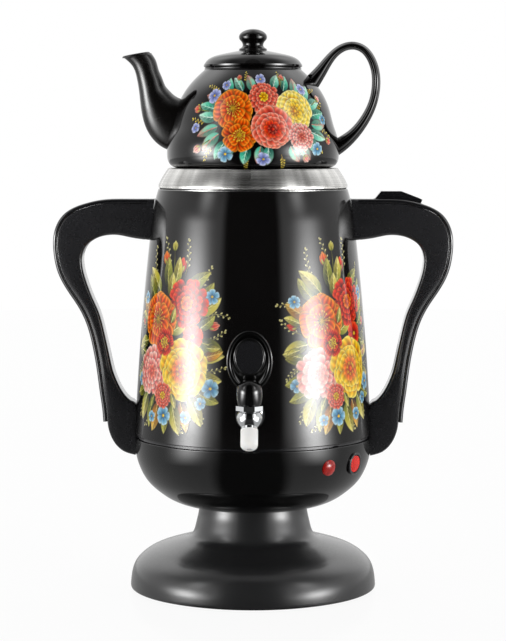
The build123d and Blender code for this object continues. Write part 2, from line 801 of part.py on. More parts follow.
# Side view of the cover strip along the outer edge of a handle
def strip_face():
    start = (shell_shoulder_radius + grip_strip_start, grip_top)
    outer = grip_outer_points()
    inner = inset(outer, grip_strip)[1:-1]
    low_end = (outer[0][0] - grip_strip, outer[0][1] - 1.2)
    high_end = (outer[-1][0], grip_top - grip_strip)
    inner = [low_end] + inner + [high_end]
    far = 6.0
    edges = [Polyline(inner[-1], (start[0], start[1] - grip_strip), (start[0], start[1] + far),
                      (outer[-3][0] + far, start[1] + far), (outer[2][0] + 9 * far, start[1] + far),
                      (outer[2][0] + 9 * far, outer[0][1] - 1.2), inner[0]),
             Spline(inner)]
    return make_face(edges)


def side_solid(face, width):
    return Plane.XZ * extrude(face, width / 2, both=True)


def whole_grip():
    body = side_solid(grip_face(), grip_width)
    rims = [edge for edge in body.edges() if abs(abs(edge.center().Y) - grip_width / 2) < 0.01]
    return fillet(rims, grip_edge) - heater_envelope(skin_gap)


def socket_zone():
    top, foot = shell_shoulder_radius + socket_top, shell_shoulder_radius + socket_foot
    reach = 60.0
    return side_solid(make_face(Polyline([(0, grip_top + 9), (top, grip_top + 9), (top, grip_top),
                                          (foot, grip_top - reach * 0.6), (0, grip_top - reach * 0.6)],
                                         close=True)), grip_width + 4)


def lever_slot():
    start = shell_shoulder_radius + lever_start - 2 * slip_gap
    end = shell_shoulder_radius + lever_start + lever_length + 3 * slip_gap
    floor = grip_top - lever_slot_floor
    middle = Pos((start + end) / 2, 0, floor + lever_slot_height / 2)
    return middle * Box(end - start, lever_width + 2 * slip_gap, lever_slot_height)


def lever_pivot(radius, length):
    frame = Plane(origin=(shell_shoulder_radius + lever_pivot_out, 0, grip_top - lever_pivot_drop),
                  x_dir=(1, 0, 0), z_dir=(0, 1, 0))
    return frame * disc(radius, -length / 2, length / 2)


def grip_screw(turn, radius, height):
    inside = facing(turn, radius, height)
    return inside * screw(screw_radius - pivot_gap, screw_length, screw_head_radius, screw_head_height)


def grip_screw_places():
    upper = grip_top - upper_screw_drop
    lower = seam_level + lower_screw_rise
    bowl_screw = bowl_rim - bowl_screw_drop
    bowl_inside = bowl_radius_and_droop(bowl_screw)[0] - bowl_wall
    shell_inside = [shell_radius(height) - shell_wall for height in (upper, lower)]
    return [(shell_inside[0] - screw_seat, upper), (shell_inside[1] - screw_seat, lower),
            (bowl_inside - screw_seat, bowl_screw)]


def grip_screws():
    return [grip_screw(turn, *place) for turn in (-90, 90) for place in grip_screw_places()]


# The three pieces of the right handle; the left one is their mirror image without the slot
def grip_pieces():
    body = whole_grip()
    strip_zone = side_solid(strip_face(), grip_width + 4)
    socket = body & socket_zone()
    rest = body - socket_zone()
    strip = rest & strip_zone
    core = rest - strip_zone
    for radius, height in grip_screw_places():
        hole = facing(90, radius, height) * disc(screw_radius, -1, screw_length + 1)
        core -= hole
        socket -= hole
    return socket, core, strip


def mirrored(shape):
    return mirror(shape, about=Plane.YZ)


def thumb_lever():
    start = shell_shoulder_radius + lever_start
    top = grip_top + lever_rise
    end = start + lever_length
    pivot = (shell_shoulder_radius + lever_pivot_out, grip_top - lever_pivot_drop)
    face = make_face(Polyline([
        (start, grip_top - 4.2), (start + 0.4, grip_top + 0.3), (start + lever_flat_start, top),
        (start + lever_flat_end, top), (end - 3.3, grip_top + 1.0), (end, grip_top - 0.6),
        (end - 0.6, grip_top - 2.2), (pivot[0] + lever_hub, pivot[1]),
        (pivot[0] - lever_hub, pivot[1])], close=True))
    face += Pos(*pivot) * Circle(lever_hub)
    return side_solid(face, lever_width) - lever_pivot(lever_pin_radius + pivot_gap, grip_width)


def lever_pin():
    return lever_pivot(lever_pin_radius, lever_pin_length)


def outlet_frame():
    tilt = radians(outlet_tilt)
    return Plane(origin=tap_centre, x_dir=(1, 0, 0), z_dir=(0, -sin(tilt), -cos(tilt)))


def shank_frame():
    return Plane(origin=(0, 0, tap_level), x_dir=(1, 0, 0), z_dir=(0, -1, 0))


def gasket_face():
    return shell_radius(tap_level) + gasket_thickness


def tap_body():
    centre = Pos(*tap_centre)
    neck_top = bonnet_lift + bonnet_height - bonnet_roof - slip_gap
    cut = bonnet_lift - slip_gap
    globe = Rot(90, 0, 0) * Sphere(tap_globe_radius) - disc(tap_globe_radius, cut, tap_globe_radius + 1)
    globe += disc(neck_ring_radius, 0, neck_top)
    seat = gasket_face()
    flange = seat + tap_flange_thickness
    stalk = turned_section([(0, shank_end), (shank_radius, shank_end), (shank_radius, seat),
                            (tap_flange_radius, seat), (tap_flange_radius, flange),
                            (arm_radius, flange), (arm_radius, tap_reach), (0, tap_reach)])
    body = centre * globe + shank_frame() * stalk + outlet_frame() * disc(outlet_radius, 0, outlet_reach)
    bores = shank_frame() * disc(shank_bore, shank_end - 1, tap_reach)
    bores += centre * disc(plug_radius + pivot_gap, -plug_drop - 1, neck_top + 1)
    bores += outlet_frame() * disc(outlet_bore, 0, outlet_reach + 1)
    return body - bores


# Solid inside the shell's side, up to an offset from its skin
def shell_core(offset):
    foot, middle, shoulder = shell_line(offset)
    return turned([ThreePointArc(foot, middle, shoulder), Line(shoulder, (0, shoulder[1])),
                   Line((0, shoulder[1]), (0, foot[1])), Line((0, foot[1]), foot)])


def tap_gasket():
    flat = shank_frame() * ring(shank_radius + pivot_gap, gasket_radius, tank_foot_radius, gasket_face())
    return flat - shell_core(pivot_gap)


def tap_spacer():
    tube = shank_frame() * ring(shank_radius + slip_gap, spacer_radius, shank_end, gasket_face())
    return (tube & shell_core(-shell_wall - pivot_gap)) - tank_core(pivot_gap)


def tank_gasket():
    seat = tank_foot_radius - tank_wall - tank_gasket_thickness - 1
    tube = shank_frame() * ring(shank_radius + pivot_gap, gasket_radius, seat, tank_foot_radius)
    return tube & tank_core(-tank_wall - pivot_gap)


def tap_nut():
    seat = tank_foot_radius - tank_wall - tank_gasket_thickness - 1
    nut = hexagon(tap_nut_width, tap_nut_thickness) - disc(shank_radius + pivot_gap, 0, tap_nut_thickness)
    return shank_frame() * Pos(0, 0, seat - tap_nut_thickness) * nut


def tap_bonnet():
    body = extrude(RegularPolygon(bonnet_radius, 8), bonnet_height)
    body = chamfer(body.edges().group_by(Axis.Z)[0], 0.8)
    body -= disc(neck_ring_radius + pivot_gap, 0, bonnet_height - bonnet_roof)
    body -= disc(stem_radius + pivot_gap, 0, bonnet_height)
    return Pos(*tap_centre) * Pos(0, 0, bonnet_lift) * Rot(0, 0, 22.5) * body


def valve_plug():
    top = bonnet_lift + bonnet_height - bonnet_roof - 2 * pivot_gap
    stem_top = bonnet_lift + bonnet_height + key_lift
    body = disc(plug_radius, -plug_drop, top) + disc(stem_radius, top, stem_top)
    body += Pos(0, 0, stem_top + stem_length / 2) * Box(stem_square, stem_square, stem_length)
    body -= disc(plug_port, -plug_drop, 0)
    body -= Plane(origin=(0, 0, 0), x_dir=(0, 1, 0), z_dir=(1, 0, 0)) * disc(plug_port, -0.5, plug_radius + 1)
    return Pos(*tap_centre) * body


def nozzle_ring():
    body = ring(outlet_radius + pivot_gap, nozzle_ring_radius, 0, nozzle_start)
    return outlet_frame() * (body - Sphere(tap_globe_radius + pivot_gap))


def tap_nozzle():
    body = disc(nozzle_radius, nozzle_start, nozzle_end)
    body = fillet(body.edges().group_by(Axis.Z)[-1], nozzle_round)
    body -= disc(outlet_radius + pivot_gap, nozzle_start, outlet_reach + slip_gap)
    return outlet_frame() * (body - disc(nozzle_hole, nozzle_start, nozzle_end))


# Frame of the key: on the tap's axis, level with the underside of the barrel
def key_frame():
    return Pos(0, -tap_reach, tap_level + bonnet_lift + bonnet_height + key_lift)


# Level of the middle of the paddle above the underside of the barrel
def paddle_middle():
    return key_height - paddle_drop + paddle_height / 2


def oval_plate(width, height, front, back, lift):
    frame = Plane(origin=(0, back, paddle_middle() + lift), x_dir=(1, 0, 0), z_dir=(0, -1, 0))
    return frame * extrude(Ellipse(width / 2, height / 2), back - front)


def tap_key():
    outline = [(key_radius - 1.0, 0), (key_radius - 0.2, key_height * 0.2), (key_radius, key_height * 0.4),
               (key_radius * 0.82, key_height * 0.8), (key_radius * 0.5, key_height * 0.95), (0, key_height)]
    barrel = turned([Spline(outline, tangents=[(0.2, 1), (-1, 0)]), Line((0, key_height), (0, 0)),
                     Line((0, 0), outline[0])])
    front = paddle_back - paddle_thickness
    paddle = oval_plate(paddle_width, paddle_height, front, paddle_back, 0)
    paddle = fillet(paddle.edges(), paddle_edge)
    paddle -= oval_plate(paddle_width - 2 * paddle_rim, paddle_height - 2 * paddle_rim,
                         front, front + paddle_recess, 0)
    paddle += oval_plate(badge_width, badge_height, front - 0.5, front + paddle_recess + 0.1, badge_lift)
    paddle -= oval_plate(badge_width - 2 * badge_rim, badge_height - 2 * badge_rim,
                         front - 0.5, front - 0.5 + badge_recess, badge_lift)
    body = barrel + paddle
    square = stem_square + 2 * pivot_gap
    body -= Pos(0, 0, stem_length / 2) * Box(square, square, stem_length + 2 * pivot_gap)
    return key_frame() * body


def tap_badge():
    front = paddle_back - paddle_thickness - 0.5
    width, height = badge_width - 2 * badge_rim - 2 * badge_gap, badge_height - 2 * badge_rim - 2 * badge_gap
    return key_frame() * oval_plate(width, height, front, front + badge_recess, badge_lift)


def lamp_lens(frame):
    rise = lamp_height - lamp_edge
    curve = (lamp_radius ** 2 + rise ** 2) / (2 * rise)
    dome = disc(lamp_radius, -switch_seat, lamp_height) & Pos(0, 0, lamp_height - curve) * Sphere(curve)
    return frame * (dome + disc(lamp_stem, -bowl_wall - lamp_body_gap, -switch_seat))


def lamp_body(frame):
    top = -bowl_wall - lamp_body_gap
    return frame * disc(lamp_body_radius, top - lamp_body_length, top)


def switch_body(frame):
    body = disc(switch_radius, -switch_seat, switch_lip)
    body = fillet(body.edges().group_by(Axis.Z)[-1], 0.6)
    body += disc(switch_barrel, -switch_depth, 0)
    body -= disc(rocker_recess_radius, -rocker_recess_depth, switch_lip + 1)
    axle = Plane(origin=(0, 0, -rocker_pivot), x_dir=(1, 0, 0), z_dir=(0, 1, 0))
    reach = rocker_axle_reach + pivot_gap
    body -= axle * disc(rocker_axle + pivot_gap, -reach, reach)
    tab = Box(tab_thickness, 2 * pin_width, tab_length)
    for x in (-4.5, 0, 4.5):
        body += Pos(x, 0, -switch_depth - tab_length / 2 + 0.5) * tab
    return frame * body


def switch_rocker(frame):
    drop = rocker_radius * sin(radians(rocker_lean))
    side = [(-rocker_radius - 1, -rocker_under), (rocker_radius + 1, -rocker_under),
            (rocker_radius + 1, rocker_ridge - drop), (0, rocker_ridge), (-rocker_radius - 1, rocker_ridge - drop)]
    body = Plane.XZ * extrude(make_face(Polyline(side, close=True)), 10, both=True)
    body &= disc(rocker_radius, -rocker_under, rocker_ridge + 1)
    axle = Plane(origin=(0, 0, -rocker_pivot), x_dir=(1, 0, 0), z_dir=(0, 1, 0))
    body += axle * disc(rocker_axle, -rocker_axle_reach, rocker_axle_reach)
    swing = Pos(0, 0, -rocker_pivot) * Rot(0, -rocker_lean, 0) * Pos(0, 0, rocker_pivot)
    return frame * (swing * body)


def inlet_box(width, height, near, far):
    return Pos(0, (near + far) / 2, control_level) * Box(width, far - near, height)


def power_inlet():
    back = pad_reach
    flange = fillet(inlet_box(inlet_flange_width, inlet_flange_height, back, back + inlet_flange)
                    .edges().filter_by(Axis.Y), 2.5)
    body = flange + inlet_box(inlet_width, inlet_height, back - inlet_depth, back)
    face = back + inlet_flange
    socket = inlet_box(inlet_socket_width, inlet_socket_height, face - inlet_socket_depth, face)
    upper = [edge for edge in socket.edges().filter_by(Axis.Y) if edge.center().Z > control_level]
    return body - chamfer(upper, inlet_bevel)


def inlet_pins():
    floor = pad_reach + inlet_flange - inlet_socket_depth
    pins = []
    for x, z in ((-pin_spacing / 2, -1), (0, pin_rise), (pin_spacing / 2, -1)):
        blade = Box(pin_width, pin_length, pin_height)
        pins.append(Pos(x, floor + pin_length / 2, control_level + z) * blade)
    return pins


def inlet_tabs():
    inner = pad_reach - inlet_depth
    return [Pos(x, inner - tab_length / 2, control_level) * Box(tab_thickness, tab_length, 2 * pin_width)
            for x in (-pin_spacing / 2, 0, pin_spacing / 2)]


def write_heater():
    save("foot_ring", foot_ring())
    save("base_cover", base_cover())
    save("base_cover_screws", base_cover_screws())
    save("pedestal", pedestal())
    save("bowl", bowl())
    save("tie_rod", tie_rod())
    save("tie_rod_nuts", tie_rod_nuts())
    save("seam_ring", seam_ring())
    save("heat_shield", heat_shield())
    save("body_shell", body_shell())
    save("inner_tank", inner_tank())
    save("heater_plate", heater_plate())
    save("heater_ring", heater_ring())
    save("thermostat", thermostat())
    save("tank_studs", tank_studs())
    save("stud_sleeves", stud_sleeves())
    save("stud_nuts", stud_nuts())


def write_teapot():
    save("lid_seal", lid_seal())
    save("tank_lid", tank_lid())
    save("teapot_body", teapot_body())
    save("teapot_spout", teapot_spout())
    save("teapot_handle", teapot_handle())
    save("teapot_lid", teapot_lid())


def write_handles():
    socket, core, strip = grip_pieces()
    save("handle_socket_left", mirrored(socket))
    save("handle_left", mirrored(core))
    save("handle_strip_left", mirrored(strip))
    slot = lever_slot()
    save("handle_socket_right", socket)
    save("handle_right", core - slot - lever_pivot(lever_pin_radius, lever_pin_length))
    save("handle_strip_right", strip - slot)
    save("handle_screws", grip_screws())
    save("thumb_lever", thumb_lever())
    save("lever_pin", lever_pin())


def write_tap():
    save("tap_body", tap_body())
    save("tap_gasket", tap_gasket())
    save("tap_spacer", tap_spacer())
    save("tank_gasket", tank_gasket())
    save("tap_nut", tap_nut())
    save("tap_bonnet", tap_bonnet())
    save("valve_plug", valve_plug())
    save("nozzle_ring", nozzle_ring())
    save("tap_nozzle", tap_nozzle())
    save("tap_key", tap_key())
    save("tap_badge", tap_badge())


def write_controls():
    lamp, switch = bowl_controls()
    save("lamp_lens", lamp_lens(lamp))
    save("lamp_body", lamp_body(lamp))
    save("switch_body", switch_body(switch))
    save("switch_rocker", switch_rocker(switch))
    save("power_inlet", power_inlet())
    save("inlet_pins", inlet_pins())
    save("inlet_tabs", inlet_tabs())


write_heater()
write_teapot()
write_handles()
write_tap()
write_controls()
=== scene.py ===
import math
import random

import bmesh
import bpy
import numpy as np
from mathutils import Matrix, Vector


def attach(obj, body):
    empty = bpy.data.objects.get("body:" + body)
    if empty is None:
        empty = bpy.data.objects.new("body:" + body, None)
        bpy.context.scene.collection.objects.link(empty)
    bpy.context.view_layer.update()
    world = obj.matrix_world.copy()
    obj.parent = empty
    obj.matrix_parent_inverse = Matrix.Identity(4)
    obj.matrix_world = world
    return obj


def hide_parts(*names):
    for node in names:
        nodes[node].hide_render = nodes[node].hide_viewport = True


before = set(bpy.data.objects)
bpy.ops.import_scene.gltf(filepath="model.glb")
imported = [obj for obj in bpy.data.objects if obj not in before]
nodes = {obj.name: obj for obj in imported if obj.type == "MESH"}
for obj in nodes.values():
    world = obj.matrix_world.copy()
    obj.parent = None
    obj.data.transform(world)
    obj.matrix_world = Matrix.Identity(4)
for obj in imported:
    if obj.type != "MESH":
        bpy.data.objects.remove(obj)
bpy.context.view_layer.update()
mm = 0.001
print("frame loaded with", len(nodes), "nodes")

# the camera stands where the photograph was taken from
cameraValues = {"distance": 1.763, "height": 0.368, "turn": 1.3, "aim": 0.2215, "lens": 120.7}


def makeCamera(values):
    data = bpy.data.cameras.new("productCamera")
    data.lens, data.sensor_width, data.sensor_fit = values["lens"], 36.0, "AUTO"
    camera = bpy.data.objects.new("productCamera", data)
    bpy.context.scene.collection.objects.link(camera)
    turn = math.radians(values["turn"])
    place = Vector((math.sin(turn), -math.cos(turn), 0)) * values["distance"]
    place.z = values["height"]
    camera.location = place
    camera.rotation_mode = "QUATERNION"
    camera.rotation_quaternion = (Vector((0, 0, values["aim"])) - place).to_track_quat("-Z", "Y")
    bpy.context.scene.camera = camera


makeCamera(cameraValues)


# lines and meshes


def smoothThrough(points, count, start=None, end=None):
    # an even, smooth line through the points, with a heading at an end where one is given
    p = np.array(points, float)
    steps = np.linalg.norm(np.diff(p[:, :2], axis=0), axis=1)
    along = np.concatenate([[0.0], np.cumsum(steps)])
    n = len(p)
    system, right = np.zeros((n, n)), np.zeros_like(p)
    for i in range(1, n - 1):
        before, after = steps[i - 1], steps[i]
        system[i, i - 1:i + 2] = after, 2 * (before + after), before
        right[i] = 3 * (after * (p[i] - p[i - 1]) / before + before * (p[i + 1] - p[i]) / after)
    for row, near, heading in ((0, 1, start), (n - 1, n - 2, end)):
        system[row, row] = 1 if heading else 2
        if heading:
            right[row] = np.array(heading, float) / np.linalg.norm(heading)
        else:
            system[row, near] = 1
            a = min(row, near)
            right[row] = 3 * (p[a + 1] - p[a]) / steps[a]
    slopes = np.linalg.solve(system, right)
    line = []
    for s in np.linspace(0, along[-1], count):
        i = min(int(np.searchsorted(along, s, side="right")) - 1, n - 2)
        h = steps[i]
        u = (s - along[i]) / h
        line.append((2 * u**3 - 3 * u**2 + 1) * p[i] + (u**3 - 2 * u**2 + u) * h * slopes[i]
                    + (3 * u**2 - 2 * u**3) * p[i + 1] + (u**3 - u**2) * h * slopes[i + 1])
    return [tuple(q) for q in line]


def eased(outline, radius, sharp=28):
    # rounds the sharp corners of an outline, as a mould or a press leaves them
    points = [Vector(q) for q in outline]
    n = len(points)
    out = []
    for i, here in enumerate(points):
        before, after = points[i - 1] - here, points[(i + 1) % n] - here
        turn = math.degrees(before.angle(-after, 0)) if before.length and after.length else 0
        if turn < sharp:
            out.append(here)
            continue
        reach = min(radius, before.length * 0.45, after.length * 0.45)
        a, b = here + before.normalized() * reach, here + after.normalized() * reach
        for k in range(5):
            u = k / 4
            out.append(a * (1 - u)**2 + here * 2 * u * (1 - u) + b * u**2)
    return [tuple(q) for q in out]


def finishedMesh(name, bm, sharp=32, merge=True):
    if merge:
        bmesh.ops.remove_doubles(bm, verts=bm.verts, dist=1e-7)
    bmesh.ops.recalc_face_normals(bm, faces=bm.faces)
    mesh = bpy.data.meshes.new(name)
    bm.to_mesh(mesh)
    bm.free()
    mesh.shade_smooth()
    mesh.set_sharp_from_angle(angle=math.radians(sharp))
    obj = bpy.data.objects.new(name, mesh)
    bpy.context.scene.collection.objects.link(obj)
    return obj


def addSpin(bm, outline, steps=160):
    # turns a closed line of (radius, height) in mm round the axis
    rings = []
    for r, z in outline:
        turns = [2 * math.pi * k / steps for k in range(steps if abs(r) > 1e-6 else 1)]
        rings.append([bm.verts.new((r * mm * math.cos(a), r * mm * math.sin(a), z * mm)) for a in turns])
    pairs = list(zip(rings, rings[1:]))
    if len(rings[0]) > 1 and len(rings[-1]) > 1:
        pairs.append((rings[-1], rings[0]))
    for a, b in pairs:
        for k in range(steps):
            j = (k + 1) % steps
            corners = list(dict.fromkeys([a[k % len(a)], a[j % len(a)], b[j % len(b)], b[k % len(b)]]))
            if len(corners) > 2:
                bm.faces.new(corners)


def spun(name, outline, steps=160, sharp=32):
    bm = bmesh.new()
    addSpin(bm, outline, steps)
    return finishedMesh(name, bm, sharp)


def lofted(name, rings, sharp=60, capStart=True, capEnd=True):
    bm = bmesh.new()
    rows = [[bm.verts.new(Vector(q) * mm) for q in ring] for ring in rings]
    for a, b in zip(rows, rows[1:]):
        for k in range(len(a)):
            j = (k + 1) % len(a)
            bm.faces.new((a[k], a[j], b[j], b[k]))
    if capStart:
        bm.faces.new(rows[0])
    if capEnd:
        bm.faces.new(rows[-1])
    return finishedMesh(name, bm, sharp)


def tidyCopy(name, source, sharp=32):
    # a merged copy of a CAD node with smooth, face-weighted normals
    bm = bmesh.new()
    bm.from_mesh(nodes[source].data)
    bmesh.ops.remove_doubles(bm, verts=bm.verts, dist=3e-6)
    bmesh.ops.dissolve_degenerate(bm, edges=bm.edges, dist=1e-7)
    # flat faces become whole again, so that they shade flat beside their rounded edges
    bmesh.ops.dissolve_limit(bm, angle_limit=math.radians(0.03), verts=bm.verts, edges=bm.edges)
    obj = finishedMesh(name, bm, sharp, merge=False)
    weigh = obj.modifiers.new("faceWeights", "WEIGHTED_NORMAL")
    weigh.keep_sharp = True
    return baked(obj)


def addBox(bm, size, middle):
    made = bmesh.ops.create_cube(bm, size=1.0)["verts"]
    bmesh.ops.scale(bm, vec=Vector(size) * mm, verts=made)
    bmesh.ops.translate(bm, vec=Vector(middle) * mm, verts=made)
    return made


def cutAway(piece, *boxes):
    # cuts boxes out of a piece, each as (size, middle) in mm
    bm = bmesh.new()
    for size, middle in boxes:
        addBox(bm, size, middle)
    cutter = finishedMesh("cutter", bm, merge=False)
    cut = piece.modifiers.new("cut", "BOOLEAN")
    cut.operation, cut.object, cut.solver, cut.use_self = "DIFFERENCE", cutter, "EXACT", len(boxes) > 1
    baked(piece)
    bpy.data.objects.remove(cutter)
    return piece


def baked(obj):
    # turns a piece and its modifiers into a plain mesh
    graph = bpy.context.evaluated_depsgraph_get()
    plain = bpy.data.meshes.new_from_object(obj.evaluated_get(graph))
    obj.modifiers.clear()
    obj.data = plain
    plain.name = obj.name
    return obj


def dress(obj, material, body, slot, *replaced):
    obj.data.materials.clear()
    obj.data.materials.append(material)
    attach(obj, body)
    if replaced:
        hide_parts(*replaced)
    return obj


# materials


def srgb(code):
    return np.array([int(code[i:i + 2], 16) / 255 for i in (1, 3, 5)])


def linear(tone):
    # sRGB to the linear colour that shaders use
    return np.where(tone <= 0.04045, tone / 12.92, ((tone + 0.055) / 1.055)**2.4)


def fromHex(code):
    return tuple(linear(srgb(code))) + (1.0,)


def setInputs(tree, node, inputs):
    # an input takes a constant, a socket, or a node, whose first output is meant
    for key, value in inputs.items():
        if isinstance(value, bpy.types.Node):
            value = value.outputs[0]
        if isinstance(value, bpy.types.NodeSocket):
            tree.links.new(value, node.inputs[key])
        else:
            node.inputs[key].default_value = value


def addNode(tree, kind, inputs=None, **settings):
    node = tree.nodes.new(kind)
    for key, value in settings.items():
        setattr(node, key, value)
    setInputs(tree, node, inputs or {})
    return node


def newMaterial(name, surface):
    material = bpy.data.materials.new(name)
    material.use_nodes = True
    tree = material.node_tree
    tree.nodes.clear()
    shader = addNode(tree, "ShaderNodeBsdfPrincipled", surface)
    addNode(tree, "ShaderNodeOutputMaterial", {"Surface": shader})
    return material, tree, shader


def noiseOf(tree, size, detail):
    # a noise of that real size in mm
    where = addNode(tree, "ShaderNodeTexCoord")
    return addNode(tree, "ShaderNodeTexNoise", {"Vector": where.outputs["Object"], "Scale": 1000 / size,
                                                "Detail": detail})


def addGrain(tree, shader, size, rough, bump=0.0, distance=0.05):
    # a noise moves the roughness between two values and lifts the surface a little
    noise = noiseOf(tree, size, 2.0)
    level = addNode(tree, "ShaderNodeMapRange", {"Value": noise, "From Min": 0.3, "From Max": 0.7,
                                                 "To Min": rough[0], "To Max": rough[1]})
    setInputs(tree, shader, {"Roughness": level})
    if bump:
        lift = addNode(tree, "ShaderNodeBump", {"Height": noise, "Strength": bump, "Distance": distance * mm})
        setInputs(tree, shader, {"Normal": lift})


def addTint(tree, shader, size, dark, light):
    # cloudy change of colour between two hex values
    mix = addNode(tree, "ShaderNodeMix", {"Factor": noiseOf(tree, size, 3.0), "A": fromHex(dark),
                                          "B": fromHex(light)}, data_type="RGBA")
    setInputs(tree, shader, {"Base Color": mix.outputs["Result"]})


def glossBlack(name, dark, light, rough, size, bump, distance, coat=0.0, ior=1.5, coatRough=0.03):
    material, tree, shader = newMaterial(name, {"IOR": ior, "Coat Weight": coat, "Coat Roughness": coatRough,
                                                "Coat IOR": 1.5})
    addTint(tree, shader, size * 6, dark, light)
    addGrain(tree, shader, size, rough, bump, distance)
    return material


# porcelain enamel, fired on sheet steel: deep black with a faint orange peel in long reflections
shellEnamel = glossBlack("blackEnamelOnSteel", "#0a0909", "#0d0c0c", (0.06, 0.09), 3.2, 0.05, 0.05, ior=1.53)
# ABS from a polished mould: clear, calm reflections
glossAbs = glossBlack("polishedMouldAbs", "#050505", "#080808", (0.04, 0.07), 4.0, 0.03, 0.04, coat=0.15)
# ABS from a blasted mould: soft grey highlights and a fine grain
satinAbs = glossBlack("satinMouldAbs", "#1d1d1e", "#232324", (0.38, 0.44), 1.6, 0.04, 0.03, coat=0.9,
                      ior=1.42, coatRough=0.19)
# glass-filled nylon of the handles: low sheen, a little grey
handleNylon = glossBlack("mouldedHandleNylon", "#232325", "#29292b", (0.24, 0.28), 2.4, 0.02, 0.03, coat=0.9,
                         coatRough=0.05)
# smoother mould for the cover strips and the lever
stripNylon = glossBlack("smoothStripNylon", "#161618", "#1a1a1c", (0.12, 0.17), 1.1, 0.03, 0.03, coat=0.8)
# black glaze on stoneware: thick, wet gloss with slow waves
blackGlaze = glossBlack("blackGlazedStoneware", "#040303", "#070606", (0.05, 0.08), 7.0, 0.04, 0.1, coat=0.1,
                        ior=1.48)
# the same glaze run thin over the spout: satin, with broad grey highlights
satinGlaze = glossBlack("thinGlazedStoneware", "#0a0908", "#100e0d", (0.22, 0.28), 5.0, 0.06, 0.1, coat=0.3,
                        coatRough=0.14)
# compression-moulded rubber: dull, slightly dusty black
blackRubber = glossBlack("mouldedBlackRubber", "#141414", "#1b1b1b", (0.55, 0.7), 0.5, 0.2, 0.03)


def brushedSteel(values):
    # stainless steel polished on a lathe: fine level lines round the cone stretch the highlights upright
    material, tree, shader = newMaterial("brushedStainlessSteel", {"Metallic": 1.0, "Anisotropic": 0.7})
    where = addNode(tree, "ShaderNodeTexCoord")
    split = addNode(tree, "ShaderNodeSeparateXYZ", {"Vector": where.outputs["Object"]})
    turn = addNode(tree, "ShaderNodeMath", {0: split, 1: split.outputs["Y"]}, operation="ARCTAN2")
    flat = addNode(tree, "ShaderNodeVectorMath", {0: where.outputs["Object"], 1: (1, 1, 0)},
                   operation="MULTIPLY")
    out = addNode(tree, "ShaderNodeVectorMath", {0: flat}, operation="LENGTH")
    rise = addNode(tree, "ShaderNodeMath", {0: split.outputs["Z"], 1: out.outputs["Value"]},
                   operation="SUBTRACT")
    lines = addNode(tree, "ShaderNodeCombineXYZ", {"X": turn, "Y": rise})
    spread = addNode(tree, "ShaderNodeMapping", {"Vector": lines,
                                                 "Scale": (values["arcs"], 1000 / values["line"], 1)})
    noise = addNode(tree, "ShaderNodeTexNoise", {"Vector": spread, "Scale": 1.0, "Detail": 4.0,
                                                 "Roughness": 0.65})
    # upright bands of painted reflection: slow light and dark stripes round the cone in the base colour,
    # standing in for the side lights' highlights
    paintedReflectionBands = addNode(tree, "ShaderNodeTexNoise", {"W": turn, "Scale": values["paintedReflectionBands"], "Detail": 2.0},
                    noise_dimensions="1D")
    # the fine lines and the painted reflection bands together set the light and dark tone
    both = addNode(tree, "ShaderNodeMath", {0: paintedReflectionBands, 1: noise}, operation="ADD")
    share = addNode(tree, "ShaderNodeMapRange", {"Value": both, "From Min": 0.7, "From Max": 1.3})
    tone = addNode(tree, "ShaderNodeMix", {"Factor": share, "A": fromHex(values["dark"]),
                                           "B": fromHex(values["light"])}, data_type="RGBA")
    rough = addNode(tree, "ShaderNodeMapRange", {"Value": noise, "From Min": 0.3, "From Max": 0.7,
                                                 "To Min": values["rough"][0], "To Max": values["rough"][1]})
    lift = addNode(tree, "ShaderNodeBump", {"Height": noise, "Strength": 0.25, "Distance": 0.02 * mm})
    setInputs(tree, shader, {"Base Color": tone.outputs["Result"], "Roughness": rough, "Normal": lift})
    return material


# the lines are drawn 0.5 mm apart, coarser than real ones, so that they show
collarSteel = brushedSteel({"arcs": 0.8, "line": 0.5, "dark": "#a6a5a2", "light": "#f6f5f2",
                            "rough": (0.20, 0.30), "paintedReflectionBands": 5.0})


def plainMetal(name, dark, light, rough, size, bump=0.1):
    material, tree, shader = newMaterial(name, {"Metallic": 1.0})
    addTint(tree, shader, size * 4, dark, light)
    addGrain(tree, shader, size, rough, bump, 0.02)
    return material


# nickel-chrome plate on cast brass: mirror with the slight waves of hand polishing
chromePlate = plainMetal("polishedChromePlate", "#d2d4d6", "#e6e7e8", (0.03, 0.07), 5.0, 0.05)
# bright zinc plate on steel fasteners
zincPlate = plainMetal("brightZincPlate", "#a9adb0", "#c2c4c4", (0.28, 0.42), 1.5)
# pressure die-cast aluminium, skin as cast
castAluminium = plainMetal("castAluminium", "#9c9d9e", "#b4b5b4", (0.4, 0.55), 0.9, 0.3)
turnedBrass = plainMetal("turnedBrass", "#b89650", "#cfae66", (0.2, 0.34), 0.8)
turnedSteel = plainMetal("turnedStainlessSteel", "#b0b0ae", "#cccbc8", (0.18, 0.3), 0.8)

# moulded silicone, milky white with a soft skin
whiteSilicone, tree, shader = newMaterial("whiteMouldedSilicone", {
    "Subsurface Weight": 0.25, "Subsurface Radius": (0.004, 0.0036, 0.003), "Subsurface Scale": 0.6,
    "IOR": 1.45})
addTint(tree, shader, 6, "#efeeeb", "#f7f6f4")
addGrain(tree, shader, 0.8, (0.3, 0.4), 0.08, 0.02)

# red polycarbonate over a lamp: deep red, with a fine pebbled pattern that glints
redLens, tree, shader = newMaterial("redPolycarbonateLens", {"IOR": 1.5, "Coat Weight": 0.2,
                                                             "Coat Roughness": 0.04})
addTint(tree, shader, 3.5, "#8a0f0a", "#b81f16")
addGrain(tree, shader, 1.2, (0.10, 0.18), 0.35, 0.1)
# the same plastic for the rocker, brighter and smooth
redRocker, tree, shader = newMaterial("redPolycarbonateRocker", {"IOR": 1.5, "Coat Weight": 0.2,
                                                                 "Coat Roughness": 0.05})
addTint(tree, shader, 5, "#c8160c", "#ea2718")
addGrain(tree, shader, 2.0, (0.14, 0.2), 0.1, 0.04)
print("materials made")


# turned pieces of the heater

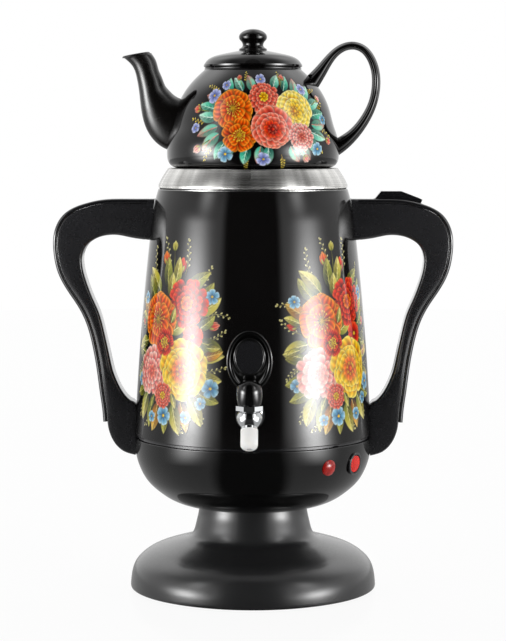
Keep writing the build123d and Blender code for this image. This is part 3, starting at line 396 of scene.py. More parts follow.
pedestal = {"rim": 101.4, "lift": 1.5, "neck": 44.3, "top": 69.5, "wall": 3.0, "bore": 4.0, "plate": 3.5,
            "bell": [(1.4, 14.0), (4.2, 21.4), (8.7, 26.5), (16.7, 32.0), (27.6, 36.0), (39.9, 39.5)],
            "neckSteps": [(6.7, 25.5), (2.6, 15.0), (0.8, 7.0)]}


def inset(outer, wall):
    # the line that runs a wall behind a smooth outer line
    inner = []
    for i, (r, z) in enumerate(outer):
        a, b = Vector(outer[max(i - 1, 0)]), Vector(outer[min(i + 1, len(outer) - 1)])
        along = (b - a).normalized()
        inner.append((r - wall * along.y, z + wall * along.x))
    return inner


def makePedestal(values):
    points = [(values["rim"], values["lift"])]
    points += [(values["rim"] - step, height) for step, height in values["bell"]]
    points += [(values["neck"] + step, values["top"] - depth) for step, depth in values["neckSteps"]]
    points.append((values["neck"], values["top"]))
    outer = smoothThrough(points, 64)
    # the rim's lower edge turns in a little, where it meets the floor ring
    outer = [(values["rim"] - 1.0, values["lift"]), (values["rim"] - 0.3, values["lift"] + 0.5)] + outer[1:]
    piece = spun("pedestalBell", eased(outer + inset(outer, values["wall"])[::-1], 0.4), 200)
    bm = bmesh.new()
    bm.from_mesh(piece.data)
    # the plate that closes the neck overlaps its wall a little
    bore, edge, top = values["bore"], values["neck"] - values["wall"] + 0.4, values["top"]
    addSpin(bm, [(bore, top), (edge, top), (edge, top - values["plate"]), (bore, top - values["plate"])], 96)
    bm.to_mesh(piece.data)
    bm.free()
    return dress(piece, satinAbs, "heater", "base_plastic", "pedestal")


makePedestal(pedestal)

bowl = {"radius": 97.2, "foot": 69.5, "rim": 126.2, "flat": 45.0, "wall": 3.0,
        "pad": ((36, 14, 29), (0, 91, 110.5)), "bore": 8.0, "hollow": 100.0, "floor": [(62, 76.5), (8, 72.6)],
        "steps": [(35.7, 3.0), (26.2, 7.3), (19.2, 12.2), (9.9, 21.0), (4.4, 30.5), (1.2, 40.0), (0.1, 49.0)]}


def bowlLine(values, count=72):
    points = [(values["flat"], values["foot"])]
    points += [(values["radius"] - step, values["foot"] + height) for step, height in values["steps"]]
    points.append((values["radius"], values["rim"]))
    return smoothThrough(points, count, start=(1, 0.0), end=(0, 1))


def makeBowl(values):
    outer = bowlLine(values)[:-1]
    outer += [(values["radius"], values["rim"] - 0.5), (values["radius"] - 0.5, values["rim"])]
    inner = [(r - values["wall"], z) for r, z in outer[::-1] if z > values["hollow"]] + values["floor"]
    piece = spun("bowlHousing", eased([(values["bore"], values["foot"])] + outer + inner, 0.6), 200)
    bm = bmesh.new()
    bm.from_mesh(piece.data)
    # flat pad for the power inlet at the back
    pad = addBox(bm, *values["pad"])
    edges = [e for e in bm.edges if all(v in pad for v in e.verts)]
    bmesh.ops.bevel(bm, geom=edges, offset=1.6 * mm, segments=4, profile=0.5, affect="EDGES")
    bm.to_mesh(piece.data)
    bm.free()
    piece.data.shade_smooth()
    piece.data.set_sharp_from_angle(angle=math.radians(32))
    return dress(piece, glossAbs, "heater", "bowl_plastic", "bowl")


makeBowl(bowl)
dress(tidyCopy("seamRing", "seam_ring"), stripNylon, "heater", "bowl_plastic", "seam_ring")

shell = {"foot": 97.3, "shoulder": 80.6, "bulge": 2.0, "low": 128.5, "high": 322.0, "top": 329.7,
         "lean": 1.9, "leanFrom": 306.0, "turn": 1.3, "wall": 1.0, "hem": 2.4}


def shellRadius(height):
    share = (height - shell["low"]) / (shell["high"] - shell["low"])
    straight = shell["foot"] + share * (shell["shoulder"] - shell["foot"])
    return straight + 4 * shell["bulge"] * share * (1 - share)


def makeShell(values):
    rise = values["high"] - values["low"]
    side = [(shellRadius(values["low"] + rise * i / 60), values["low"] + rise * i / 60) for i in range(61)]
    side[0] = (side[0][0] - 0.35, values["low"])
    side.insert(1, (shellRadius(values["low"] + 0.5), values["low"] + 0.5))
    # above the sockets the wall leans in to a tight corner under the collar
    corner = values["top"] - values["turn"]
    side += [(shellRadius(corner - k), corner - k) for k in (4, 2, 0)]
    side = [(r - values["lean"] * max(0, (z - values["leanFrom"]) / (corner - values["leanFrom"]))**2, z)
            for r, z in side]
    edge = side[-1][0] - values["turn"]
    turn = [(edge + values["turn"] * math.cos(a), corner + values["turn"] * math.sin(a))
            for a in (math.radians(k * 15) for k in range(1, 7))]
    inner = [(edge - 0.1, values["top"]), (edge - 0.1, values["top"] - 1.2), (edge - 0.1, corner - 2)]
    inner += [(r - values["wall"], z) for r, z in side[::-6] if values["low"] + 3 < z < values["high"] - 2]
    inner += [(values["foot"] - 1.0, values["low"] + 1), (values["foot"] - values["hem"], values["low"] + 1),
              (values["foot"] - values["hem"], values["low"])]
    return dress(spun("bodyShell", side + turn + inner, 256), shellEnamel, "heater", "shell_enamel",
                 "body_shell")


makeShell(shell)
print("pedestal, bowl and shell made")

# the tank's lid and its seal
collar = {"foot": 77.3, "top": 69.9, "low": 332.0, "height": 14.8, "bulge": 0.5, "hole": 49.0, "rim": 6.8,
          "skirt": 70.5, "drop": 10.0, "roll": 1.3}


def makeTankLid(values):
    low, high = values["low"], values["low"] + values["height"]
    cone = []
    for i in range(25):
        share = i / 24
        cone.append((values["foot"] + share * (values["top"] - values["foot"])
                     + 4 * values["bulge"] * share * (1 - share), low + 1 + share * (values["height"] - 2)))
    # rolled edge at the foot, pressed corner at the top
    roll = low - values["roll"]
    outer = [(values["foot"] - 0.9, low), (values["foot"] - 0.9, roll + 0.3), (values["foot"] - 0.5, roll),
             (values["foot"] - 0.1, roll + 0.3)] + cone[:-1]
    outer += [(values["top"], high - 1.0), (values["top"] - 0.3, high - 0.35), (values["top"] - 1, high)]
    hole = values["hole"]
    dish = [(hole, high), (hole - 0.7, high - 0.25), (hole - 1, high - 1), (hole - 1, high - values["rim"]),
            (hole, high - values["rim"]), (hole, high - 1)]
    under = [(values["top"] - 1.6, high - 1.0), (values["foot"] - 1.3, low + 1.0),
             (values["skirt"] - 1, low + 1), (values["skirt"] - 1, low - values["drop"]),
             (values["skirt"], low - values["drop"]), (values["skirt"], low)]
    return dress(spun("tankLidCollar", outer + dish + under, 256), collarSteel, "tank_lid", "brushed_steel",
                 "tank_lid")


makeTankLid(collar)
seal = {"inner": 71.3, "outer": 76.3, "low": 329.7, "high": 332.0}
dress(spun("lidSealRing", eased([(seal["inner"], seal["low"]), (seal["outer"], seal["low"]),
                                 (seal["outer"], seal["high"]), (seal["inner"], seal["high"])], 0.8), 200),
      blackRubber, "tank_lid", "black_rubber", "lid_seal")

# the teapot
pot = {"radius": 70.3, "foot": 346.8, "base": 60.5, "wall": 4.5, "mouth": 39.5, "mouthIn": 33.0,
       "mouthTop": 428.5, "ring": (42.0, 46.0, 3.0),
       "steps": [(3.4, 1.9), (0.8, 5.6), (0.0, 11.2), (1.3, 25.2), (4.3, 34.2), (7.8, 47.2), (12.3, 58.2),
                 (18.3, 67.2), (25.3, 74.7)]}


def potLine(count=80):
    points = [(pot["base"], pot["foot"])]
    points += [(pot["radius"] - step, pot["foot"] + height) for step, height in pot["steps"]]
    points.append((pot["mouth"], pot["mouthTop"] - 2.0))
    return smoothThrough(points, count, start=(1, 0.02), end=(-0.75, 0.66))


def makePot():
    outer = potLine()
    foot, top = pot["foot"], pot["mouthTop"]
    inner = [(r, z) for r, z in inset(outer, pot["wall"])[1:-1] if z > foot + 9 and r > pot["mouthIn"]]
    ringIn, ringOut, ringDrop = pot["ring"]
    line = [(0, foot), (ringIn, foot), (ringIn, foot - ringDrop), (ringOut, foot - ringDrop), (ringOut, foot)]
    line += outer + [(pot["mouth"], top - 0.6), (pot["mouth"] - 0.6, top), (pot["mouthIn"] + 0.8, top),
                     (pot["mouthIn"], top - 0.8), (pot["mouthIn"], top - 5)] + inner[::-1]
    line += [(pot["base"] - 5, foot + 5.4), (pot["base"] - 12, foot + 5), (0, foot + 5)]
    return dress(spun("teapotBody", eased(line, 0.8), 224), blackGlaze, "teapot", "black_ceramic",
                 "teapot_body")


makePot()

# out from the pot, up from its foot, depth, width and lean of each section
spout = {"wall": 3.0, "stations": [
    (-22.0, 33.5, 44.0, 30.0, 70.0), (-1.4, 37.8, 42.0, 28.0, 70.0), (6.8, 46.3, 37.3, 26.0, 60.0),
    (11.3, 57.4, 27.8, 23.0, 45.0), (13.5, 68.3, 22.0, 20.5, 32.0), (15.6, 76.2, 19.4, 18.5, 24.0),
    (18.2, 84.6, 19.5, 17.5, 15.0), (25.2, 92.7, 23.3, 17.5, 10.0)]}


def spoutRing(station, wall, steps=64):
    out, height, depth, width, lean = station
    lean = math.radians(lean)
    ring = []
    for k in range(steps):
        a = 2 * math.pi * k / steps
        across, side = (depth / 2 - wall) * math.cos(a), (width / 2 - wall) * math.sin(a)
        ring.append((-pot["radius"] - out + across * math.cos(lean), side,
                     pot["foot"] + height + across * math.sin(lean)))
    return ring


def makeSpout(values):
    stations = smoothThrough(values["stations"], 44)
    outside = [spoutRing(s, 0.0) for s in stations]
    inside = [spoutRing(s, values["wall"]) for s in stations[::-1]]
    # the lip is rolled in a half circle between the outside and the bore
    last = stations[-1]
    lean, half = math.radians(last[4]), values["wall"] / 2
    lip = []
    for k in range(9):
        a = math.pi * k / 8
        down = half * (1 - math.sin(a))
        lip.append([(x + down * math.sin(lean), y, z - down * math.cos(lean))
                    for x, y, z in spoutRing(last, half * (1 - math.cos(a)))])
    piece = lofted("teapotSpout", outside[6:-1] + lip + inside[1:-6], 70)
    return dress(piece, satinGlaze, "teapot", "black_ceramic", "teapot_spout")


makeSpout(spout)

# the strap's middle, out from the pot and up from its foot, with thickness and width
potGrip = {"rib": 0.9, "stations": [
    (-26.0, 65.0, 15.0, 13.0), (-14.5, 79.5, 10.0, 12.5), (-6.3, 90.5, 7.4, 12.0), (2.0, 97.2, 6.6, 11.5),
    (10.5, 99.3, 6.4, 11.5), (18.6, 97.0, 6.4, 11.5), (25.3, 89.6, 6.6, 11.5), (29.2, 79.0, 6.8, 11.5),
    (30.0, 67.2, 7.0, 11.5), (27.4, 53.0, 7.2, 11.5), (21.2, 39.8, 8.0, 12.0), (11.8, 27.6, 9.6, 12.5),
    (0.5, 18.5, 12.5, 13.5), (-9.0, 13.0, 14.0, 14.0)]}


def makePotGrip(values):
    stations = smoothThrough(values["stations"], 110)
    middles = [Vector((pot["radius"] + s[0], 0, pot["foot"] + s[1])) for s in stations]
    rings = []
    for i, (_, _, thickness, width) in enumerate(stations):
        along = (middles[min(i + 1, len(middles) - 1)] - middles[max(i - 1, 0)]).normalized()
        outward = Vector((0, 1, 0)).cross(along)
        ring = []
        for k in range(40):
            a = 2 * math.pi * k / 40
            # a soft rib runs down the middle of the strap, with a shallow hollow each side of it
            rib = values["rib"] * (math.exp(-((abs(math.cos(a))) / 0.28)**2) - 0.45 * math.exp(
                -((abs(math.cos(a)) - 0.55) / 0.22)**2))
            reach = (thickness / 2 - 0.4 + max(rib, -0.4) * 0.5) * math.sin(a)
            ring.append(tuple(middles[i] + Vector((0, 1, 0)) * width / 2 * math.cos(a) + outward * reach))
        rings.append(ring)
    return dress(lofted("teapotHandle", rings[4:-3], 70), blackGlaze, "teapot", "black_ceramic",
                 "teapot_handle")


makePotGrip(potGrip)

lid = {"rim": 40.2, "rimRise": 2.5, "rise": 13.5, "flange": 32.4, "flangeWall": 2.9, "drop": 7.0,
       "foot": 11.3, "neck": 8.5, "ball": 11.5, "ballHeight": 13.2, "knob": 17.6}


def makePotLid(values):
    low = pot["mouthTop"]
    rim, crown = low + values["rimRise"], low + values["rise"]
    top = crown + values["knob"]
    dome = smoothThrough([(values["rim"] - 0.4, rim), (values["rim"] - 2.5, rim + 2.9),
                          (values["rim"] - 13.5, crown - 3.1), (values["foot"] + 0.2, crown)], 26)
    ball = top - values["ballHeight"] / 2
    knob = [(values["foot"], crown + 1.5), (values["neck"], crown + 4.0)]
    for angle in (-36, -12, 12, 36, 60, 90):
        knob.append((values["ball"] * math.cos(math.radians(angle)),
                     ball + values["ballHeight"] / 2 * math.sin(math.radians(angle))))
    knob[-1] = (0, top)
    knobLine = smoothThrough(knob, 40, end=(-1, 0))
    flange, edge, foot = values["flange"], values["rim"], low - values["drop"]
    hollow = flange - values["flangeWall"]
    rimEdge = [(flange, low), (edge - 0.5, low), (edge, low + 0.5), (edge, rim - 0.6)]
    under = [(0, crown - 4.5), (edge - 14.5, crown - 7.6), (hollow, rim - 1.0), (hollow, foot),
             (flange, foot)]
    line = rimEdge + dome + knobLine[:-1] + [(0, top)] + under
    return dress(spun("teapotLid", eased(line, 0.5, sharp=38), 176), blackGlaze, "teapot_lid",
                 "black_ceramic", "teapot_lid")


makePotLid(lid)
print("lid and teapot made")

# flowers in enamel paint, drawn stroke by stroke on a fine net that then follows the surface


def newCanvas(width, height, pitch):
    rows, columns = int(height / pitch) + 1, int(width / pitch) + 1
    v, u = np.meshgrid(np.linspace(-height / 2, height / 2, rows),
                       np.linspace(-width / 2, width / 2, columns), indexing="ij")
    return {"u": u, "v": v, "pitch": pitch, "colour": np.zeros((rows, columns, 3)),
            "cover": np.zeros((rows, columns)), "width": width, "height": height}


strokeForms = {"petal": (0.85, 0.30), "leaf": (0.60, 0.85), "drop": (1.3, 0.38), "round": (0.5, 0.5),
               "line": (0.12, 0.5), "blade": (0.45, 0.6)}


def brush(canvas, at, heading, length, width, tones, bend=0.0, form="petal", streak=0.22, lines=9.0, rim=0.5,
          edge=0.45, phase=0.0, half=0.0, opacity=1.0, low=0.0):
    # one stroke of the brush; tones are its root, body and tip, bend is its curvature a mm, and low is the
    # share of its length that other strokes will cover
    reach = length + width
    pitch = canvas["pitch"]
    window = tuple(slice(max(int((middle - reach + full / 2) / pitch), 0),
                         max(int((middle + reach + full / 2) / pitch), 0) + 1)
                   for middle, full in ((at[1], canvas["height"]), (at[0], canvas["width"])))
    across, along = canvas["v"][window] - at[1], canvas["u"][window] - at[0]
    if along.size == 0:
        return
    c, s = math.cos(math.radians(heading)), math.sin(math.radians(heading))
    along, across = along * c + across * s, -along * s + across * c
    if abs(bend) > 1e-5:
        sign = 1.0 if bend > 0 else -1.0
        radius = 1 / abs(bend)
        far = radius - across * sign
        along, across = radius * np.arctan2(along, far), sign * (radius - np.hypot(along, far))
    t = along / length
    inside = (t > 0) & (t < 1)
    t = np.clip(t, 1e-4, 1 - 1e-4)
    rise, fall = strokeForms[form]
    peak = rise / (rise + fall)
    reachHere = width / 2 * (t / peak)**rise * ((1 - t) / (1 - peak))**fall
    d = reachHere - np.abs(across)
    mask = np.clip(d / (pitch * 1.1) + 0.5, 0, 1) * inside * opacity
    lean = np.clip(across / np.maximum(reachHere, 0.15), -1, 1)
    root, body, tip = (np.array(tone) for tone in tones)
    seen = np.clip((t - low) / (1 - low), 0, 1)
    k = np.clip(seen / 0.6 + 0.08, 0, 1)[..., None]
    colour = root * (1 - k) + body * k
    k = (np.clip((seen - 0.5) / 0.5, 0, 1)**1.5 * 0.85)[..., None]
    colour = colour * (1 - k) + tip * k
    if rim:
        k = (rim * np.exp(-(d / (0.09 * width + 0.25))**2) * np.clip(t * 1.6, 0, 1))[..., None]
        colour = colour * (1 - k) + tip * k
    if streak:
        wave = 0.5 + 0.5 * np.sin(lean * lines + phase + 1.2 * np.sin(t * 3 + phase))
        fine = 0.5 + 0.5 * np.sin(lean * lines * 2.3 + 2 * phase)
        colour = colour * (1 - (streak * wave * (1 - 0.45 * seen))[..., None])
        k = (streak * 1.1 * fine * (1 - wave) * seen)[..., None]
        colour = colour * (1 - k) + tip * k
    if half:
        colour = colour * (1 - (half * (lean > 0) * (1 - 0.3 * t))[..., None])
    if edge:
        colour = colour * (1 - (edge * np.exp(-(d / 0.38)**2))[..., None])
    k = mask[..., None]
    canvas["colour"][window] = canvas["colour"][window] * (1 - k) + colour * k
    canvas["cover"][window] = 1 - (1 - canvas["cover"][window]) * (1 - mask)


def tonesOf(*codes):
    return tuple(srgb(code) for code in codes)


# root, body and tip of each paint's strokes
paints = {
    "scarlet": tonesOf("#6a0a06", "#dd2a10", "#ff8a4a"), "orange": tonesOf("#b02a06", "#f26a10", "#ffc24a"),
    "yellow": tonesOf("#d06405", "#f9c80c", "#fff39a"), "lemon": tonesOf("#d78a10", "#fbe04e", "#fffbd0"),
    "coral": tonesOf("#b3242a", "#ef6a4e", "#ffd2bd"), "blush": tonesOf("#d8434a", "#f7a596", "#fff4ea"),
    "blue": tonesOf("#2b5f8c", "#77b3d2", "#e8f7fb"), "lilac": tonesOf("#5560a4", "#9aa6dc", "#f0f1ff"),
    "gold": tonesOf("#6b7a1e", "#c9bd4e", "#fbf3b4"), "olive": tonesOf("#3e4a14", "#8f9433", "#e9e08a"),
    "amber": tonesOf("#7a4a10", "#d99c2e", "#fbe79b"), "sea": tonesOf("#0f5e57", "#4fc2a4", "#e4fbe8"),
    "mint": tonesOf("#1e7a6c", "#8fdcc2", "#f7fff4"), "seaPink": tonesOf("#3fb89c", "#9fe2c8", "#f08a80"),
    "dark": tonesOf("#1a0704", "#3a0d06", "#7a1d08"), "straw": tonesOf("#8f8640", "#d9d08a", "#fbf7cf"),
    "sun": tonesOf("#c9a012", "#f4d435", "#fff7a0")}


def onward(at, heading, reach, bend=0.0):
    # the point that far along a stroke
    far = math.radians(heading) + bend * reach / 2
    return at[0] + reach * math.cos(far), at[1] + reach * math.sin(far)


def dab(canvas, at, size, tones, **stroke):
    brush(canvas, (at[0] - size / 2, at[1]), 0, size, size, paints[tones], form="round", streak=0, **stroke)


def ringOfPetals(canvas, rng, at, count, length, width, tones, turn=0.0, **stroke):
    for i in range(count):
        heading = turn + 360 * i / count + rng.uniform(-5, 5)
        size = rng.uniform(0.92, 1.06)
        brush(canvas, at, heading, length * size, width * rng.uniform(0.92, 1.08), paints[tones],
              bend=rng.uniform(-0.012, 0.012), phase=rng.uniform(0, 6), **stroke)


def paintDahlia(canvas, rng, at, size, tones, heart):
    for count, length, width, turn, lines, low, colours in (
            (14, 1.0, 0.46, 4, 6, 0.66, tones), (12, 0.76, 0.40, 14, 6, 0.58, tones),
            (9, 0.52, 0.35, 3, 5, 0.45, tones), (7, 0.30, 0.22, 20, 4, 0.0, heart)):
        ringOfPetals(canvas, rng, at, count, size * length, size * width, colours, turn, lines=lines, low=low)
    dab(canvas, at, size * 0.16, heart)


def paintPoppy(canvas, rng, at, size, tones, petals=6):
    for count, length, width, turn, lines, streak, low in ((petals, 1.0, 1.06, 12, 16, 0.34, 0.5),
                                                           (petals - 1, 0.66, 0.72, 40, 12, 0.3, 0.3)):
        ringOfPetals(canvas, rng, at, count, size * length, size * width, tones, turn, lines=lines,
                     streak=streak, rim=0.8, low=low)
    dab(canvas, at, size * 0.34, "dark")
    for i in range(16):
        heading = 22.5 * i + rng.uniform(-6, 6)
        reach = size * rng.uniform(0.26, 0.42)
        brush(canvas, at, heading, reach, 0.55, paints["sun"], form="line", streak=0, edge=0.1)
        tip = onward(at, heading, reach)
        dab(canvas, (tip[0] + 0.05, tip[1]), 1.5, "sun", edge=0.2)


def paintRose(canvas, rng, at, size, tones, heart):
    # broad cupped petals round a folded heart
    for count, lower, length, width, turn, lines, rim, low, colours in (
            (7, 0.0, 1.0, 0.98, 8, 11, 0.85, 0.62, tones), (6, 0.03, 0.8, 0.84, 30, 10, 0.85, 0.58, tones),
            (5, 0.05, 0.6, 0.68, 10, 9, 0.85, 0.5, tones), (5, 0.06, 0.42, 0.46, 40, 8, 0.8, 0.0, heart)):
        middle = (at[0], at[1] - size * lower)
        ringOfPetals(canvas, rng, middle, count, size * length, size * width, colours, turn, lines=lines,
                     rim=rim, low=low)
    # folds: short curved strokes lying round the middle
    for i in range(7):
        heading = 360 * i / 7 + 20
        brush(canvas, onward(middle, heading, size * 0.2), heading + 100, size * 0.3, size * 0.11,
              (paints[heart][0],) + paints[tones][1:], bend=1 / (size * 0.24), form="blade", streak=0.1,
              lines=3)
    dab(canvas, middle, size * 0.18, heart)


def paintSmall(canvas, rng, at, size, tones, petals=5):
    ringOfPetals(canvas, rng, at, petals, size, size * 0.98, tones, rng.uniform(0, 70), lines=5, rim=0.8,
                 streak=0.15)
    dab(canvas, at, size * 0.36, "sun")


# every painter takes the canvas, the source of chance and its row of a bunch
def paintLeaf(canvas, rng, at, heading, length, width, bend, tones, veins):
    tones = paints[tones]
    brush(canvas, at, heading, length, width, tones, bend=bend, form="leaf", streak=0.12, lines=5, rim=0.35,
          half=0.28)
    light = (tones[2],) * 3
    brush(canvas, at, heading, length * 0.92, 0.55, light, bend=bend, form="line", streak=0, edge=0)
    for i in range(veins):
        reach = length * (i + 1) / (veins + 1.6)
        for side in (-1, 1):
            brush(canvas, onward(at, heading, reach, bend), heading + math.degrees(bend * reach) + side * 38,
                  width * 0.36, 0.4, light, bend=-side * 0.05, form="line", streak=0, edge=0, opacity=0.65)


def paintBud(canvas, rng, at, heading, size, stem, tones):
    root = onward(at, heading, -stem)
    brush(canvas, root, heading, stem * 1.05, 0.8, paints["olive"], form="line", streak=0, edge=0.1)
    for lean, share in ((24, 0.86), (-24, 0.86), (0, 1.0)):
        brush(canvas, at, heading + lean, size * share, size * 0.52, paints[tones], bend=-lean * 0.002,
              form="blade", lines=6)
    for lean in (42, -42):
        brush(canvas, at, heading + lean, size * 0.55, size * 0.22, paints["gold"], bend=-lean * 0.003,
              form="leaf", streak=0)


def paintSprig(canvas, rng, at, heading, length, bend, tones, drops, size):
    tones = paints[tones]
    brush(canvas, at, heading, length, 0.6, tones, bend=bend, form="line", streak=0, edge=0, opacity=0.9)
    for i in range(drops):
        share = 0.25 + 0.75 * i / (drops - 1)
        reach = length * share
        side = 1 if i % 2 else -1
        brush(canvas, onward(at, heading, reach, bend), heading + math.degrees(bend * reach) + side * 46,
              size * (1.25 - 0.45 * share), size * 0.46, tones, form="drop", streak=0, edge=0.15,
              bend=-side * 0.08)
    brush(canvas, onward(at, heading, length, bend), heading + math.degrees(bend * length), size * 1.1,
          size * 0.5, tones, form="drop", streak=0, edge=0.15)


# a bunch lists its strokes from the back to the front, as painter, what all the rows end with, and the rows,
# in mm from its own middle; this one stands on both sides of the shell
shellBunch = {"width": 112.0, "height": 166.0, "pitch": 0.45, "seed": 7, "middle": 213.0,
              "turns": (("flowersLeft", -45.5), ("flowersRight", 47.5)), "lift": 0.09, "ground": "#0a0909",
              "strokes": [
    (paintSprig, ("straw", 9, 3.0), [
        ((-20, 44), 118, 26, -0.02), ((-3, 52), 98, 26, 0.012), ((14, 50), 74, 26, 0.018),
        ((24, 34), 44, 25, 0.02), ((30, 18), 22, 24, -0.03), ((33, -2), 4, 20, 0.035),
        ((-30, 24), 152, 22, 0.03), ((-33, 4), 170, 20, -0.035), ((-34, -20), 196, 17, 0.04),
        ((30, -24), -14, 23, 0.03), ((26, -44), -40, 22, -0.03), ((6, -54), -76, 22, 0.03),
        ((-14, -54), -110, 22, -0.03), ((-28, -46), -140, 20, 0.03)]),
    (paintBud, (), [
        ((-8, 58), 100, 11, 24, "orange"), ((9, 52), 80, 12.5, 22, "scarlet"),
        ((-25, 45), 122, 10, 20, "orange"), ((24, 44), 58, 10, 22, "orange"), ((1, 69), 92, 8, 26, "gold"),
        ((-38, 10), 168, 9, 14, "scarlet"), ((39, 10), 12, 9.5, 14, "coral")]),
    (paintLeaf, (4,), [
        ((-20, 30), 142, 24, 11, -0.02, "olive"), ((24, 26), 34, 26, 11, 0.02, "olive"),
        ((-30, -16), 176, 20, 10, 0.0, "olive"), ((30, -14), 4, 24, 11, 0.0, "gold"),
        ((-28, -38), 220, 23, 11, -0.02, "olive"), ((30, -40), -36, 23, 11, 0.02, "olive"),
        ((-18, -50), 250, 24, 10, 0.015, "olive"), ((0, -50), -92, 27, 11, 0.0, "olive"),
        ((16, -50), -66, 25, 11, -0.01, "amber"), ((2, 4), 30, 22, 12, 0.0, "gold"),
        ((30, 8), 30, 18, 9, 0.02, "olive"), ((-34, 12), 150, 16, 8, 0.02, "gold"),
        ((-14, 36), 128, 27, 12, 0.012, "gold"), ((16, 36), 48, 28, 12, -0.012, "olive"),
        ((-4, 40), 100, 24, 11, -0.01, "olive"), ((4, 42), 76, 23, 10, 0.01, "gold"),
        ((-28, 18), 160, 22, 11, -0.015, "amber"), ((28, 20), 24, 24, 12, 0.015, "gold"),
        ((-30, -4), 186, 22, 11, 0.02, "gold"), ((31, -2), -6, 22, 11, -0.02, "olive"),
        ((-32, -30), 206, 20, 11, -0.02, "olive"), ((33, -28), -22, 20, 11, 0.02, "gold"),
        ((-26, -46), 236, 24, 12, 0.02, "gold"), ((-10, -52), 262, 25, 12, -0.012, "amber"),
        ((8, -52), -80, 26, 12.5, 0.012, "gold"), ((24, -46), -52, 26, 12.5, -0.012, "gold"),
        ((36, -14), 14, 17, 9, 0.01, "amber"), ((-36, -14), 164, 16, 9, 0.01, "gold"),
        ((0, 32), 88, 20, 10, 0.0, "gold")]),
    (paintSmall, ("blue",), [
        ((40, 34), 6.0), ((-39, 30), 5.4), ((43, -38), 7.4), ((-2, -62), 8.0), ((-41, -36), 5.6),
        ((22, -62), 5.4), ((35, -50), 5.0), ((-18, -64), 4.6)]),
    (paintDahlia, (), [((17, 28), 20, "scarlet", "orange")]),
    (paintPoppy, (), [((-15, 14), 21.5, "orange")]),
    (paintSmall, (), [((25, 2), 9.5, "scarlet", 6)]),
    (paintDahlia, (), [((-21, -28), 20.5, "blush", "coral")]),
    (paintRose, (), [((16, -24), 24, "yellow", "orange")]),
    (paintPoppy, (), [((-5, -4), 10.5, "scarlet", 5)]),
    (paintDahlia, (), [((-4, -46), 10.5, "coral", "yellow")]),
    (paintLeaf, (2,), [
        ((2, 12), 66, 13, 6, 0.02, "gold"), ((-37, -8), 190, 12, 6, 0.03, "gold"),
        ((38, -6), -10, 12, 6, 0.03, "gold"), ((6, -44), -60, 13, 6, -0.02, "gold"),
        ((-15, -46), 240, 12, 6, 0.02, "olive")])]}

# the wide bunch on the teapot
potBunch = {"width": 146.0, "height": 86.0, "pitch": 0.45, "seed": 11, "middle": 47.5, "turn": 8.0,
            "radius": 69.0, "lift": 0.1, "ground": "#0c0a09", "strokes": [
    (paintSprig, ("sun", 8, 2.5), [
        ((-44, 10), 168, 18, 0.03), ((-46, -4), 188, 18, -0.03), ((-40, 20), 140, 16, 0.03),
        ((-14, 28), 112, 13, -0.03), ((20, 28), 66, 13, 0.03), ((46, 18), 34, 16, -0.03),
        ((50, 4), 8, 17, 0.03), ((50, -8), -10, 17, -0.03), ((40, -22), -40, 14, 0.03),
        ((-38, -22), 216, 15, 0.03), ((-12, -30), 250, 11, 0.03), ((14, -30), -68, 11, -0.03)]),
    (paintLeaf, (3,), [
        ((-40, 6), 168, 20, 10, 0.0, "sea"), ((-38, -8), 198, 20, 10, 0.01, "seaPink"),
        ((-30, -20), 232, 17, 9, 0.01, "sea"), ((-18, 22), 120, 18, 9, 0.02, "mint"),
        ((22, 22), 62, 18, 9, 0.0, "sea"), ((40, 14), 40, 19, 10, 0.01, "mint"),
        ((46, 1), 8, 20, 10, 0.0, "sea"), ((42, -12), -20, 19, 10, 0.0, "mint"),
        ((30, -22), -50, 17, 9, 0.0, "seaPink"), ((-2, -24), -102, 14, 8, 0.0, "seaPink"),
        ((-36, 12), 150, 20, 11, 0.02, "seaPink"), ((-30, 18), 112, 18, 10, -0.02, "sea"),
        ((-40, 0), 186, 19, 10, -0.02, "mint"), ((-36, -14), 214, 20, 11, 0.02, "seaPink"),
        ((-24, -20), 246, 16, 10, -0.02, "mint"), ((-8, 22), 102, 18, 10, 0.02, "seaPink"),
        ((12, 24), 70, 17, 10, -0.02, "mint"), ((32, 18), 58, 19, 10, 0.02, "seaPink"),
        ((44, 8), 24, 20, 10, -0.02, "mint"), ((46, -6), -8, 19, 10, 0.02, "seaPink"),
        ((38, -18), -36, 18, 10, -0.02, "mint"), ((22, -24), -64, 15, 9, 0.02, "seaPink"),
        ((4, -24), -92, 15, 9, 0.0, "mint"), ((-12, -24), -112, 15, 9, 0.02, "sea")]),
    (paintBud, (), [
        ((-58, 6), 172, 8, 10, "coral"), ((-52, -24), 212, 8.5, 10, "blush"),
        ((-22, 33), 118, 7, 8, "coral"), ((24, 33), 62, 7.5, 8, "coral"), ((60, 14), 24, 8, 10, "blush"),
        ((60, -18), -24, 8, 10, "coral"), ((34, -31), -48, 7.5, 8, "blush")]),
    (paintSmall, (), [
        ((-46, 18), 6.4, "lilac"), ((-36, 28), 4.6, "lilac"), ((0, 34), 6.0, "lilac"),
        ((44, 24), 5.4, "lilac"), ((-30, -30), 6.2, "blue"), ((48, -26), 5.6, "blue"),
        ((0, -34), 5.4, "lilac"), ((-60, -9), 4.4, "lilac"), ((63, -2), 4.4, "blue")]),
    (paintDahlia, (), [((2, 17), 14.5, "coral", "yellow")]),
    (paintPoppy, (), [((-26, 7), 17.5, "orange"), ((-19, -15), 14.0, "orange", 5)]),
    (paintRose, (), [((30, 6), 18.0, "lemon", "yellow"), ((8, -9), 17.5, "coral", "scarlet")]),
    (paintDahlia, (), [((33, -16), 12.0, "blush", "coral")])]}


def paintBunch(values):
    rng = random.Random(values["seed"])
    canvas = newCanvas(values["width"], values["height"], values["pitch"])
    for paint, shared, rows in values["strokes"]:
        for row in rows:
            paint(canvas, rng, *row, *shared)
    return canvas


